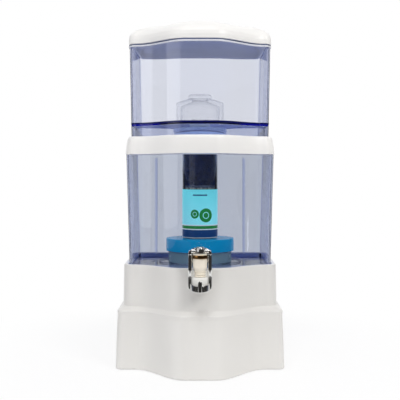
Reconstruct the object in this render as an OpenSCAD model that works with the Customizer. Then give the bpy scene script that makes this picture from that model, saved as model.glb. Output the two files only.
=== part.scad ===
// Gravity water filter: two bow-fronted clear tanks over a two-tier stand, with a lever tap.
// Z is up, the tap faces -Y, and the origin is at the bottom centre of the whole object.

/* [Outline] */
// Full width of the lower tank at its foot
lower_w = 222.4; // [190:0.1:280]
// Distance from the tank axis to the lower tank's front corners
lower_front = 90; // [76:0.5:115]
// Distance from the tank axis to the lower tank's back
lower_back = 81; // [70:0.5:105]
// Bow of the lower tank in front
lower_bow = 41.5; // [30:0.5:52]
// How much narrower each side of the upper tank is
upper_inset = 3.7; // [0:0.1:8]
// How much further back the upper tank's front corners are
upper_front_inset = 1; // [0:0.1:6]
// How much further forward the upper tank's back is
upper_back_inset = 0; // [0:0.1:6]
// Bow of the upper tank in front
upper_bow = 44; // [32:0.5:54]
// Plan radius of the corners
corner_r = 10; // [8:0.5:14]
// Extra bow between the shoulders
crown = 4; // [1:0.5:7]
// Width of the S between a corner face and the bow
shoulder = 76; // [50:1:84]

/* [Stand] */
// Full height of the stand
stand_h = 161; // [135:1:200]
// Height of the ledge between the two tiers
ledge_h = 91; // [60:1:110]
// Width of the ledge at the sides
ledge_side = 7.6; // [5:0.1:12]
// Width of the ledge at the front corners
ledge_front = 8.3; // [7:0.1:14]
// Width of the ledge at the back
ledge_back = 9.8; // [5:0.1:14]
// How much further the ledge's bow reaches than the tank's
ledge_bow_out = 1.5; // [1:0.1:6]
// Depth of the dip in the middle of the ledge's front edge
ledge_dip = 4; // [0:0.5:5]
// Half width of that dip
ledge_dip_w = 20; // [12:1:30]
// How much each side of the foot flares out from the ledge
foot_flare = 2.4; // [1:0.1:8]
// How much the front corners flare out from the ledge
foot_lean = 6; // [2:0.5:12]
// How much further the foot's bow reaches than the ledge's
foot_bow_out = 13; // [2:0.5:20]
// Width of the flat corner face beside the bow of the lower tier
stand_pilaster = 22; // [14:1:28]
// Wall of the stand
stand_wall = 3; // [2:0.5:4]
// Width of the rim around the lower tank
rim_wall = 6.6; // [3.5:0.1:9]
// Gap around the lower tank in its recess
seat_gap = 2; // [1:0.1:3]
// Depth of the recess that takes the lower tank
recess_depth = 9; // [6:0.5:14]
// Thickness of the deck under the lower tank
deck_t = 3; // [2:0.5:5]
// Side draft of the upper tier
tier_draft = 1.2; // [0.5:0.1:3]
// Height of the stiffening ribs under the deck
deck_rib_h = 18; // [8:1:30]
// Gap under the foot edge, taken up by the rubber feet
foot_gap = 1; // [0.5:0.1:1.3]
// Diameter of the leg posts under the deck
leg_d = 20; // [16:1:26]
// Distance of the leg posts from the wall
leg_gap = 4; // [2:0.5:10]
// Diameter of a rubber foot
pad_d = 18; // [12:1:22]
// Thickness of a rubber foot
pad_t = 4; // [2:0.5:6]
// Diameter of the peg that holds a rubber foot
peg_d = 7; // [4:0.5:9]
// Length of that peg
peg_l = 8; // [5:0.5:12]

/* [Lower tank] */
// Height of the lower tank over the deck
lower_h = 180.5; // [150:0.5:220]
// How far each side leans out up to the rim
lower_draft = 4.6; // [2:0.1:8]
// Wall of both tanks
tank_wall = 3; // [2.4:0.1:4]
// Thickness of the tank rims
rim_bead = 5; // [4:0.1:6.5]
// Height of the thick band under a tank rim
bead_h = 6; // [4:0.5:10]
// Height of the foot ring under the lower tank's floor
foot_ring_h = 2.3; // [1.5:0.1:4]
// Thickness of the tank floors
floor_t = 3; // [2:0.1:4]
// Diameter of the locating ring on the lower floor
ring_d = 138; // [112:1:156]
// Width of that ring
ring_w = 2; // [1.5:0.1:4]
// Height of that ring
ring_h = 2; // [1:0.1:4]
// Distance between the two locating pips on the lower floor
pip_span = 156; // [140:1:176]
// Diameter of a locating pip
pip_d = 4; // [3:0.5:6]
// Distance between the two stiffening ribs on the back wall
back_rib_span = 156; // [120:1:180]
// Width of a stiffening rib
back_rib_w = 2.4; // [1.5:0.1:4]
// Depth of a stiffening rib
back_rib_d = 8; // [2:0.1:12]
// Depth of the step along the foot of the back wall
back_step_d = 8; // [4:0.1:12]
// Height of that step over the floor
back_step_h = 6; // [4.5:0.5:12]

/* [Middle cover] */
// Height of the cover between the two tanks
cover_h = 28; // [22:0.5:40]
// How far the cover stands proud of the lower tank's rim
cover_lap = 1.1; // [0.5:0.1:2]
// Depth of the lip inside the lower tank
cover_lip = 5; // [3:0.5:8]
// Depth of the recess that takes the upper tank
cover_recess = 11; // [8:0.5:14]
// Gap around the upper tank in its recess
nest_gap = 0.6; // [0.4:0.1:1.2]
// Wall of the cover around the upper tank
cover_wall = 3; // [2.4:0.1:4]
// Thickness of the cover's deck
cover_deck = 3; // [2:0.5:4]
// Room around the cartridge flange in the cover's opening
bore_room = 8; // [3:0.5:12]

/* [Upper tank] */
// Height of the upper tank over the cover's deck
upper_h = 153.5; // [125:0.5:190]
// How far each side leans out up to the rim
upper_draft = 2.6; // [1:0.1:5]
// Height of the skirt under the upper floor
skirt_h = 27.5; // [22:0.5:34]

/* [Lid] */
// Full height of the lid over the tank rim
lid_h = 40; // [32:0.5:52]
// How far the lid stands proud of the tank rim
lid_lap = 0.8; // [0.4:0.1:2]
// Wall of the lid
lid_wall = 2.5; // [2:0.1:4]
// Depth of the lip inside the upper tank
lid_lip = 4; // [3:0.5:8]
// Height of the lid's upright side
lid_side = 8; // [5:0.5:12]

/* [Cartridge] */
// Outer diameter of the cartridge
cart_d = 59; // [48:0.5:72]
// Wall of the cartridge shell
cart_wall = 2; // [1.5:0.1:3]
// Length of the neck between shell and flange
neck_l = 33.4; // [20:0.2:44]
// Diameter of the neck
neck_d = 34; // [28:0.5:44]
// Diameter of the flange under the upper floor
flange_d = 88; // [70:0.5:106]
// Thickness of that flange
flange_t = 5; // [3:0.1:7]
// Diameter of the threaded stud through the floor
stud_d = 21.2; // [16:0.1:26]
// Thickness of the seal ring under the floor
seal_t = 1.5; // [1:0.1:3]
// Gap between the cartridge and the case lid under it
drip_gap = 1.3; // [1:0.1:4]
// Height of the carbon bed
carbon_h = 52; // [40:0.5:64]
// Thickness of a pad between two beds
felt_t = 3.5; // [2:0.1:5]
// Thickness of the perforated end cap
end_t = 3; // [2:0.1:5]
// Distance of the printed sleeve from the ends of its place
label_gap = 1.5; // [1:0.1:5]
// Thickness of the sleeve
label_t = 0.3; // [0.2:0.05:0.6]

/* [Pre-filter] */
// Diameter of the pre-filter dome
dome_d = 76; // [62:0.5:92]
// Height of the dome's upright side
dome_side = 36.5; // [28:0.5:46]
// Height of the dome's sloping shoulder
dome_slope = 5; // [3:0.5:9]
// Wall of the dome
dome_wall = 6; // [4:0.5:8]
// Diameter of the cap on the dome
dome_cap_d = 38.8; // [30:0.2:48]
// Height of the cap
dome_cap_h = 8.5; // [5:0.5:12]
// Thickness of the threaded plate
plate_t = 5.5; // [4:0.5:8]
// Thickness of the gasket under the plate
gasket_t = 1.5; // [1:0.1:3]
// Number of grip ribs on each side of the dome
dome_ribs = 9; // [5:1:13]
// Thickness of a grip rib
dome_rib_t = 1.2; // [0.8:0.1:2]

/* [Mineral case] */
// Diameter of the case body
case_d = 104; // [84:0.5:126]
// Height of the case
case_h = 38.5; // [30:0.5:48]
// Height of the case body that shows under the lid
case_show = 14.4; // [10:0.2:18]
// Wall of the case
case_wall = 2.2; // [1.5:0.1:3]
// How far the case lid reaches over the body's side
case_lap = 6.7; // [5.6:0.1:9]
// Wall of the case lid
case_lid_wall = 2.6; // [2:0.1:3.2]
// Thickness of the case lid's top
case_lid_t = 3; // [2:0.1:4]
// Diameter of the holes in the lid
case_hole_d = 5; // [3:0.5:7]
// Number of holes in the lid
case_holes = 16; // [8:1:20]
// Diameter of a mineral stone
stone_d = 15.6; // [10:0.2:20]

/* [Tap] */
// Diameter of the shank
shank_d = 16.4; // [13:0.2:19]
// Diameter of the washers
washer_d = 27; // [24:0.5:32]
// Thickness of a washer
washer_t = 2; // [1:0.1:3]
// Width of the lock nut across its corners
nut_w = 28; // [24:0.5:34]
// Thickness of the lock nut
nut_t = 8; // [5:0.5:12]
// How far the boss stands out of the tank wall on both sides
boss_t = 1.6; // [1:0.1:3]
// Distance from the tap axis to the face of its flange
tap_reach = 20.5; // [15:0.5:24]
// Diameter of the valve body
valve_d = 20.8; // [17:0.1:25]
// Height of the valve body's top above the shank axis
valve_up = 8.5; // [8:0.1:12]
// Length of the valve body's full-width part
valve_l = 21; // [18:0.5:26]
// Diameter of the waist under the valve body
waist_d = 14.4; // [11:0.1:16]
// Length of the taper into the waist
waist_l = 5.5; // [4:0.1:7]
// How far the two ridges stand out of the waist
ridge_out = 0.8; // [0.4:0.1:1.4]
// Distance from the valve body's taper to the mouth of the outlet
outlet_l = 20; // [18:0.5:26]
// Diameter of the outlet bell
bell_d = 23.2; // [20:0.1:28]
// Wall of the outlet bell
bell_wall = 1.6; // [1:0.1:2]
// Height of the outlet bell
bell_h = 13.5; // [11:0.1:16]
// Thickness of the bronze ring
tap_ring_t = 1.15; // [0.6:0.05:1.6]
// Height of the bronze ring
tap_ring_h = 5.3; // [3:0.1:7]
// Diameter of the chrome bonnet
bonnet_d = 12.6; // [11:0.1:15]
// Thickness of the bonnet's cap
bonnet_cap_t = 3; // [2:0.1:5]
// Height of the crank pin's axis above the valve body
pin_up = 4.2; // [4.1:0.1:6]
// Diameter of the crank pin
pin_d = 2.6; // [2:0.1:3.2]
// Swing of the lever
lever_swing = 36; // [20:1:40]
// Width of a lever bar
lever_bar = 5.2; // [4:0.1:6.5]
// Depth of a lever bar
lever_depth = 7; // [5:0.1:9]
// Drop from the pin to the bottom of the bow
lever_drop = 58.6; // [52:0.1:68]
// Height of the bow
bow_h = 10; // [7:0.1:12]
// Thickness of the bow
bow_t = 3; // [2:0.1:3.6]
// Width of the front rib
rib_w = 5.8; // [4:0.1:8]
// Height of the front rib
rib_h = 17; // [13:0.1:20]
// How far the front rib stands out of the bow
rib_out = 1.1; // [0.6:0.1:2]

/* [Hidden] */
$fn = 64;

lip_gap = 0.5;      // around a lip in a tank's mouth
turn_gap = 0.3;     // between pieces that turn on each other
lever_gap = 0.4;    // between the lever's bars and the tap
run_gap = 0.05;     // radial running fit of a pin or a stem
glue_gap = 0.05;    // between pieces that are pressed or bonded together
sink = 0.2;         // how far a rib is rooted in its wall
hole_gap = 0.2;     // around the shank in the tank wall
rim_round = 1;      // rounding of an outer rim edge
rim_soft = 0.8;     // rounding of an inner rim edge
bead_run = 3;       // height over which a rim's thick band runs out
floor_fillet = 3;   // rounding between the lower tank's wall and floor

// A plan is [half width, front, back, bow, corner face].
tier_grow = seat_gap + rim_wall;
ledge_grow = tier_grow + tier_draft;
lower_plan = [lower_w / 2, lower_front, lower_back, lower_bow, 0];
tier_plan = lower_plan;
ledge_plan = [lower_w / 2 + ledge_grow + ledge_side, lower_front + ledge_grow + ledge_front,
    lower_back + ledge_grow + ledge_back, lower_bow + ledge_bow_out, stand_pilaster];
foot_plan = [ledge_plan[0] + foot_flare, ledge_plan[1] + foot_lean, ledge_plan[2] + foot_flare,
    ledge_plan[3] + foot_bow_out, stand_pilaster];
upper_plan = [lower_w / 2 - upper_inset, lower_front - upper_front_inset,
    lower_back - upper_back_inset, upper_bow, 0];

deck_z = stand_h - recess_depth;
lower_floor_z = deck_z + foot_ring_h + floor_t;
lower_top_z = deck_z + lower_h;
cover_top_z = lower_top_z + cover_h;
cover_deck_z = cover_top_z - cover_recess;
upper_under_z = cover_deck_z + skirt_h;
upper_floor_z = upper_under_z + floor_t;
upper_top_z = cover_deck_z + upper_h;
case_top_z = lower_floor_z + case_h;

flange_top_z = upper_under_z - seal_t;
flange_under_z = flange_top_z - flange_t;
cart_z = case_top_z + drip_gap;
cart_top_z = flange_under_z - neck_l;
cart_l = cart_top_z - cart_z;
cart_in_r = cart_d / 2 - cart_wall - glue_gap;
shell_top_t = 3;
shell_round = 7;    // rounding of the cartridge shell's shoulder
carbon_round = 6;   // rounding of the carbon bed's shoulder
stud_out = 4;       // how far the stud stands over the plate
stud_wall = 3.5;
seal_inset = 6;     // a flat seal's distance from the edge of what it seals
seal_room = 3;      // and from the stud
carbon_z = cart_top_z - shell_top_t - carbon_h;
// the three lower beds share what the carbon bed and the pads leave
low_beds = carbon_z - 3 * felt_t - cart_z - 2 * end_t;
zeolite_h = 0.35 * low_beds;
sand_h = 0.29 * low_beds;
zeolite_z = carbon_z - felt_t - zeolite_h;
sand_z = zeolite_z - felt_t - sand_h;
ceramic_z = cart_z + 2 * end_t;
pad_zs = [carbon_z - felt_t, zeolite_z - felt_t, sand_z - felt_t];
cover_bore = max(flange_d, cart_d) + 2 * bore_room;

plate_z = upper_floor_z + gasket_t;
dome_z = plate_z + plate_t;
dome_top_z = dome_z + dome_side + dome_slope;

tap_z = stand_h + max(nut_w, washer_d) / 2 + 1;
tank_lean = (tap_z - deck_z) / lower_h * lower_draft;
wall_front = lower_front + lower_bow + tank_lean;
boss_d = max(nut_w, washer_d) + 2;
boss_front = wall_front + boss_t;
boss_back = wall_front - tank_wall - boss_t;
nut_back = boss_back - washer_t - nut_t;
tap_face = boss_front + washer_t;
tier_front = lower_front + lower_bow + ledge_grow;
tap_y = max(tap_face + tap_reach, tier_front + bell_d / 2 + 2);
valve_top_z = tap_z + valve_up;
valve_low_z = valve_top_z - valve_l;
waist_z = valve_low_z - waist_l;
outlet_z = valve_low_z - outlet_l;
bell_top_z = outlet_z + 7.3;
way_d = 6.4;
chamber_z = valve_low_z - 2;
chamber_d = bonnet_d - 2.2;

tongue_w = bonnet_d - 4.2;
tongue_t = 3.2;
stem_d = 4;
crank_d = 2;
crank_side = 0.25;
crank_r = (tongue_w - crank_d) / 2 - crank_side - 0.85;
crank_low = -lever_swing / 2;
pin_z = valve_top_z + pin_up;
crank_z = pin_z + crank_r * sin(crank_low);
slot_h = crank_d + 2 * run_gap;
tongue_top_z = crank_z + slot_h / 2 + 1.5;
stem_lift = -2 * crank_r * sin(crank_low);
bonnet_top_z = tongue_top_z + stem_lift + turn_gap;
bonnet_low_z = valve_top_z - 6;
seal_h = 3;
collar_h = 1.5;
collar_gap = 0.8;
seal_gap = 0.6;
spring_z = chamber_z + seal_h + collar_h;
packing_t = 1.9;
packing_z = bonnet_low_z - packing_t / 2 - glue_gap;

lever_in = max(valve_d / 2 + glue_gap + tap_ring_t, bell_d / 2) + lever_gap;
bow_r = lever_in + lever_bar;
bow_z = pin_z - lever_drop;

front_reach = max(tap_y + bow_r + rib_out, foot_plan[1] + foot_plan[3]);
axis_y = (front_reach - foot_plan[2]) / 2;

// 1 on the bow, 0 on the corner face, an S between them
function s_curve(x, x_in, x_out) =
    x <= x_in ? 1 : x >= x_out ? 0 : (1 + cos(180 * (x - x_in) / (x_out - x_in))) / 2;

// how far a plan's bow begins from the axis, and where its corner face starts
function face_x(plan) = plan[0] - corner_r - plan[4];
function bow_x(plan) = max(face_x(plan) * 0.1, face_x(plan) - shoulder);
function front_at(plan, x) = plan[1] + (plan[3] - crown) * s_curve(x, bow_x(plan), face_x(plan))
    + crown * max(0, 1 - pow(x / face_x(plan), 2));

function mix_plan(a, b, t) = a * (1 - t) + b * t;

// one storey outline, moved outward by grow, counterclockwise from the middle of the front
function half_outline(plan, grow, dip) =
    let (x_in = bow_x(plan), x_out = face_x(plan), r = max(corner_r + grow, 1.5),
        cx = plan[0] + grow - r, fy = plan[1] + grow - r, by = plan[2] + grow - r,
        xs = concat([for (k = [0:3]) x_in * k / 3], [for (k = [1:10]) x_in + (x_out - x_in) * k / 10]))
    concat([for (x = xs) [x, dip * exp(-pow(x / ledge_dip_w, 2)) - grow - front_at(plan, x)]],
        [for (a = [-90:18:0]) [cx + r * cos(a), r * sin(a) - fy]],
        [for (a = [0:18:90]) [cx + r * cos(a), by + r * sin(a)]]);
function outline(plan, grow = 0, dip = 0) =
    let (right = half_outline(plan, grow, dip), n = len(right))
    concat(right, [for (k = [n - 1:-1:1]) [-right[k][0], right[k][1]]]);

// a ring of the skin: a plan at a height, moved outward by grow
function ring(z, plan, grow = 0, dip = 0) = [for (p = outline(plan, grow, dip)) [p[0], p[1], z]];

// a closed skin through rings of equal length, capped on the first and last ring
module loft(rings) {
    n = len(rings[0]);
    points = [for (r = rings) each r];
    sides = [for (i = [0:len(rings) - 2], j = [0:n - 1], h = [0, 1])
        let (k = (j + 1) % n, a = i * n + j, b = (i + 1) * n + j, c = (i + 1) * n + k, d = i * n + k)
        h == 0 ? [a, b, c] : [a, c, d]];
    low = [for (j = [0:n - 1]) j];
    high = [for (j = [n - 1:-1:0]) (len(rings) - 1) * n + j];
    polyhedron(points, faces = concat([low], sides, [high]));
}

// everything is drawn around the tank axis and then moved so that the origin is the bottom centre
module placed() {
    translate([0, axis_y, 0]) children();
}

module tube(d, h, bore) {
    difference() {
        cylinder(d = d, h = h);
        translate([0, 0, -1]) cylinder(d = bore, h = h + 2);
    }
}

/* stand */

// how far over the foot the lower tier starts to lean
foot_turn_h = 12;

function stand_outside() = [
    ring(foot_gap, foot_plan, -1),
    ring(foot_gap + 2, foot_plan),
    ring(foot_gap + foot_turn_h, mix_plan(foot_plan, ledge_plan, 0.12), -0.4),
    ring(ledge_h * 0.34, mix_plan(foot_plan, ledge_plan, 0.36)),
    ring(ledge_h * 0.66, mix_plan(foot_plan, ledge_plan, 0.74), 0, ledge_dip * 0.4),
    ring(ledge_h - 6, mix_plan(foot_plan, ledge_plan, 0.97), 0, ledge_dip * 0.9),
    ring(ledge_h - 2.2, ledge_plan, -0.4, ledge_dip),
    ring(ledge_h - 0.4, ledge_plan, -1.6, ledge_dip)];
function tier_outside() = [
    ring(ledge_h, tier_plan, ledge_grow + 2.2),
    ring(ledge_h + 2, tier_plan, ledge_grow + 0.7),
    ring(ledge_h + 5, tier_plan, ledge_grow),
    ring(stand_h - 4, tier_plan, tier_grow),
    ring(stand_h - 1.4, tier_plan, tier_grow - 0.6),
    ring(stand_h, tier_plan, tier_grow - 2),
    ring(stand_h, tier_plan, seat_gap + 0.8),
    ring(stand_h - 0.8, tier_plan, seat_gap),
    ring(deck_z, tier_plan, seat_gap)];
function stand_inside() = [
    ring(deck_z - deck_t, tier_plan, tier_grow - stand_wall),
    ring(ledge_h + 2, tier_plan, ledge_grow - stand_wall),
    ring(ledge_h - stand_wall, ledge_plan, -stand_wall, ledge_dip),
    ring(ledge_h * 0.34, mix_plan(foot_plan, ledge_plan, 0.36), -stand_wall),
    ring(foot_gap, foot_plan, -stand_wall - 0.5)];

leg_in = tier_grow - stand_wall - leg_gap - leg_d / 2;
leg_x = tier_plan[0] + leg_in;
leg_front = -tier_plan[1] - leg_in;
leg_back = tier_plan[2] + leg_in;
leg_spots = [[-leg_x, leg_front], [leg_x, leg_front], [leg_x, leg_back], [-leg_x, leg_back]];

module at_legs() {
    for (p = leg_spots) translate([p[0], p[1], 0]) children();
}

module deck_ribs() {
    z = deck_z - deck_t - deck_rib_h;
    for (y = [leg_front, leg_back])
        translate([-leg_x, y - stand_wall / 2, z]) cube([2 * leg_x, stand_wall, deck_rib_h + sink]);
    for (x = [-leg_x, leg_x])
        translate([x - stand_wall / 2, leg_front, z])
            cube([stand_wall, leg_back - leg_front, deck_rib_h + sink]);
}

module base_stand() {
    color("whitesmoke") placed() difference() {
        union() {
            loft(concat(stand_inside(), stand_outside(), tier_outside()));
            at_legs() translate([0, 0, pad_t]) cylinder(d = leg_d, h = deck_z - deck_t + sink - pad_t);
            deck_ribs();
        }
        at_legs() translate([0, 0, pad_t - 1]) cylinder(d = peg_d + 2 * glue_gap, h = peg_l + 1.5);
    }
}

module rubber_feet() {
    color("dimgray") placed() at_legs() {
        cylinder(d = pad_d, h = pad_t);
        translate([0, 0, pad_t - sink]) cylinder(d = peg_d, h = peg_l + sink);
    }
}

/* tanks, cover and lid */

function lower_lean(z) = (z - deck_z) / lower_h * lower_draft;
function upper_lean(z) = (z - cover_deck_z) / upper_h * upper_draft;
function lower_ring(z, grow) = ring(z, lower_plan, lower_lean(z) + grow);
function upper_ring(z, grow) = ring(z, upper_plan, upper_lean(z) + grow);

function step_ring(z, grow) = ring(z, [lower_plan[0], lower_plan[1], lower_plan[2] - back_step_d,
    lower_plan[3], lower_plan[4]], lower_lean(z) - tank_wall + grow);

function lower_rings() = [
    lower_ring(deck_z + foot_ring_h, -tank_wall - 5),
    lower_ring(deck_z, -tank_wall - 5),
    lower_ring(deck_z, -1.5 * rim_round),
    lower_ring(deck_z + 1.5 * rim_round, 0),
    lower_ring(lower_top_z - rim_round, 0),
    lower_ring(lower_top_z, -rim_round),
    lower_ring(lower_top_z, rim_soft - rim_bead),
    lower_ring(lower_top_z - rim_soft, -rim_bead),
    lower_ring(lower_top_z - bead_h, -rim_bead),
    lower_ring(lower_top_z - bead_h - bead_run, -tank_wall),
    lower_ring(lower_floor_z + back_step_h, -tank_wall),
    step_ring(lower_floor_z + back_step_h - rim_soft, 0),
    step_ring(lower_floor_z + floor_fillet, 0),
    step_ring(lower_floor_z + rim_soft, -rim_soft),
    step_ring(lower_floor_z, -floor_fillet)];

module back_rib(x) {
    low = lower_floor_z - sink;
    high = lower_top_z - cover_lip - 1;
    hull() {
        for (z = [low, high]) translate([x - back_rib_w / 2,
            lower_back + lower_lean(z) - tank_wall - back_rib_d, z])
            cube([back_rib_w, back_rib_d + 1, 0.5]);
    }
}

module on_shank(y) {
    translate([0, -y, tap_z]) rotate([90, 0, 0]) children();
}

module lower_tank() {
    color("lightsteelblue", 0.4) placed() difference() {
        union() {
            loft(lower_rings());
            on_shank(boss_back) cylinder(d = boss_d, h = boss_front - boss_back);
            translate([0, 0, lower_floor_z - sink]) tube(ring_d, ring_h + sink, ring_d - 2 * ring_w);
            for (x = [-pip_span / 2, pip_span / 2])
                translate([x, 0, lower_floor_z - sink]) cylinder(d = pip_d, h = ring_h + sink);
            for (x = [-back_rib_span / 2, back_rib_span / 2]) back_rib(x);
        }
        on_shank(boss_back - 1) cylinder(d = shank_d + 2 * hole_gap, h = boss_front - boss_back + 2);
    }
}

function upper_rings() = [
    upper_ring(upper_under_z, -tank_wall),
    upper_ring(cover_deck_z + rim_round, -tank_wall),
    upper_ring(cover_deck_z, -tank_wall + 0.6),
    upper_ring(cover_deck_z, -rim_soft),
    upper_ring(cover_deck_z + rim_round, 0),
    upper_ring(upper_top_z - rim_round, 0),
    upper_ring(upper_top_z, -rim_round),
    upper_ring(upper_top_z, rim_soft - rim_bead),
    upper_ring(upper_top_z - rim_soft, -rim_bead),
    upper_ring(upper_top_z - bead_h, -rim_bead),
    upper_ring(upper_top_z - bead_h - bead_run, -tank_wall),
    upper_ring(upper_floor_z + 2, -tank_wall),
    upper_ring(upper_floor_z, -tank_wall - 2)];

module upper_tank() {
    color("lightsteelblue", 0.4) placed() difference() {
        loft(upper_rings());
        translate([0, 0, upper_under_z - 1]) cylinder(d = stud_d + 2 * turn_gap, h = floor_t + 2);
    }
}

cover_low_grow = lower_draft + cover_lap;
cover_top_grow = nest_gap + cover_wall;
cover_lip_grow = lower_draft - rim_bead - lip_gap;
function cover_ring(z, grow) =
    let (t = (z - lower_top_z) / cover_h)
    ring(z, mix_plan(lower_plan, upper_plan, t), cover_low_grow * (1 - t) + cover_top_grow * t + grow);

function cover_rings() = [
    ring(cover_deck_z - cover_deck, lower_plan, cover_lip_grow - cover_wall),
    ring(lower_top_z - cover_lip, lower_plan, cover_lip_grow - cover_wall + 0.5),
    ring(lower_top_z - cover_lip, lower_plan, cover_lip_grow - 0.8),
    ring(lower_top_z, lower_plan, cover_lip_grow),
    cover_ring(lower_top_z, -0.5),
    cover_ring(lower_top_z + 0.7, 0),
    cover_ring(lower_top_z + cover_h * 0.55, 0.6),
    cover_ring(cover_top_z - 4, 0.5),
    cover_ring(cover_top_z - 1.4, -0.1),
    cover_ring(cover_top_z, -1.6),
    ring(cover_top_z, upper_plan, nest_gap + 0.5),
    ring(cover_top_z - 0.8, upper_plan, nest_gap),
    ring(cover_deck_z, upper_plan, nest_gap)];

module middle_cover() {
    color("white") placed() difference() {
        loft(cover_rings());
        translate([0, 0, cover_deck_z - cover_deck - 1]) cylinder(d = cover_bore, h = cover_deck + 2);
    }
}

lid_grow = upper_draft + lid_lap;
lid_lip_grow = upper_draft - rim_bead - lip_gap;
lid_plan = [upper_plan[0] + lid_grow, upper_plan[1] + lid_grow, upper_plan[2] + lid_grow, upper_plan[3], 0];
crown_plan = [lid_plan[0] * 0.45, lid_plan[1] * 0.35, lid_plan[2] * 0.35, lid_plan[3] * 0.3, 0];
// share of the way to the crown against share of the height above the upright side
lid_steps = [[0.03, 0.14], [0.08, 0.31], [0.16, 0.49], [0.28, 0.66], [0.45, 0.8], [0.7, 0.92], [1, 1]];
function lid_z(share) = upper_top_z + lid_side + share * (lid_h - lid_side);
function lid_dome(inset) = [for (s = lid_steps)
    ring(lid_z(s[1]) - inset, mix_plan(lid_plan, crown_plan, s[0]), -inset)];

function lid_rings() = concat(
    [for (k = [len(lid_steps) - 1:-1:0]) lid_dome(lid_wall)[k]],
    [ring(upper_top_z + lid_wall, lid_plan, -lid_wall),
    ring(upper_top_z + lid_wall, upper_plan, lid_lip_grow - lid_wall),
    ring(upper_top_z - lid_lip, upper_plan, lid_lip_grow - lid_wall + 0.4),
    ring(upper_top_z - lid_lip, upper_plan, lid_lip_grow - 0.6),
    ring(upper_top_z, upper_plan, lid_lip_grow),
    ring(upper_top_z, lid_plan, -0.5),
    ring(upper_top_z + 0.6, lid_plan),
    ring(upper_top_z + lid_side, lid_plan)],
    lid_dome(0));

module lid() {
    color("white") placed() loft(lid_rings());
}

/* cartridge */

module cartridge_cap() {
    stud_top = plate_z + plate_t + stud_out;
    bevel = 1.5;
    color("midnightblue") placed() {
        translate([0, 0, cart_top_z]) cylinder(d = neck_d, h = neck_l + sink);
        translate([0, 0, flange_under_z]) rotate_extrude() polygon([[0, 0], [flange_d / 2 - bevel, 0],
            [flange_d / 2, bevel], [flange_d / 2, flange_t], [0, flange_t]]);
        translate([0, 0, flange_top_z - sink]) difference() {
            cylinder(d = stud_d, h = stud_top - flange_top_z + sink);
            translate([0, 0, sink + stud_wall - 0.5]) cylinder(d = stud_d - 2 * stud_wall, h = stud_top);
        }
    }
}

module cartridge_seal() {
    color("gainsboro") placed() translate([0, 0, flange_top_z]) tube(flange_d - 2 * seal_inset, seal_t,
        stud_d + 2 * seal_room);
}

module cartridge_shell() {
    r = cart_d / 2;
    q = r - cart_wall;
    top = cart_l - end_t;
    roof = top - shell_top_t + 2 * glue_gap;
    big = shell_round;
    small = shell_round - cart_wall;
    color("lightsteelblue", 0.4) placed() translate([0, 0, cart_z + end_t]) rotate_extrude()
        polygon(concat([[q, 0], [r, 0]],
            [for (a = [0:15:90]) [r - big + big * cos(a), top - big + big * sin(a)]], [[0, top], [0, roof]],
            [for (a = [90:-15:0]) [q - small + small * cos(a), roof - small + small * sin(a)]]));
}

module bed(z, h, round_top = 0) {
    r = cart_in_r - glue_gap;
    placed() translate([0, 0, z]) rotate_extrude() polygon(concat([[0, 0], [r, 0]],
        round_top > 0 ? [for (a = [0:15:90]) [r - round_top + round_top * cos(a), h - round_top
            + round_top * sin(a)]] : [[r, h]], [[0, h]]));
}

module carbon_bed() {
    color("midnightblue") bed(carbon_z, carbon_h, carbon_round);
}

module zeolite_bed() {
    color("tan") bed(zeolite_z, zeolite_h);
}

module sand_bed() {
    color("wheat") bed(sand_z, sand_h);
}

module ceramic_bed() {
    color("sienna") bed(ceramic_z, pad_zs[2] - ceramic_z);
}

module media_pads() {
    color("slategray") for (z = pad_zs) bed(z, felt_t);
}

module cartridge_end() {
    hole_d = 4;
    color("lightgray") placed() translate([0, 0, cart_z]) difference() {
        union() {
            cylinder(d = cart_d, h = end_t);
            translate([0, 0, end_t - sink]) cylinder(r = cart_in_r, h = end_t + sink);
        }
        for (k = [0:7]) rotate([0, 0, 45 * k]) translate([cart_d * 0.3, 0, -1])
            cylinder(d = hole_d, h = 2 * end_t + 2);
        translate([0, 0, -1]) cylinder(d = hole_d, h = 2 * end_t + 2);
    }
}

module cartridge_label() {
    low = cart_z + label_gap;
    high = pad_zs[0] - 2 * label_gap;
    color("skyblue") placed() translate([0, 0, low])
        tube(cart_d + 2 * (glue_gap + label_t), high - low, cart_d + 2 * glue_gap);
}

/* pre-filter */

module prefilter_plate() {
    rim_h = 2;
    boss_h = 6;
    boss_wall = 4;
    color("white") placed() translate([0, 0, plate_z]) difference() {
        union() {
            cylinder(d = dome_d, h = plate_t);
            cylinder(d = dome_d - 2 * dome_wall - 1, h = plate_t + rim_h);
            cylinder(d = stud_d + 2 * boss_wall, h = plate_t + boss_h);
        }
        translate([0, 0, -1]) cylinder(d = stud_d + 2 * run_gap, h = plate_t + boss_h + 2);
    }
}

module prefilter_gasket() {
    edge_in = 4;
    color("gainsboro") placed() translate([0, 0, upper_floor_z])
        tube(dome_d - 2 * edge_in, gasket_t, stud_d + 2 * seal_room);
}

module prefilter_dome() {
    r = dome_d / 2;
    c = dome_cap_d / 2;
    color("white") placed() translate([0, 0, dome_z]) {
        rotate_extrude() polygon([[r - dome_wall, 0], [r, 0], [r, dome_side], [c, dome_side + dome_slope],
            [c - dome_wall, dome_side + dome_slope], [c - dome_wall, dome_side + dome_slope - dome_wall],
            [r - dome_wall, dome_side - dome_wall]]);
        for (side = [0, 180], k = [0:dome_ribs - 1])
            rotate([0, 0, side + 8 * (k - (dome_ribs - 1) / 2)])
                translate([r - 1, -dome_rib_t / 2, 1]) cube([1.7, dome_rib_t, dome_side - 2]);
    }
}

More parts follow.
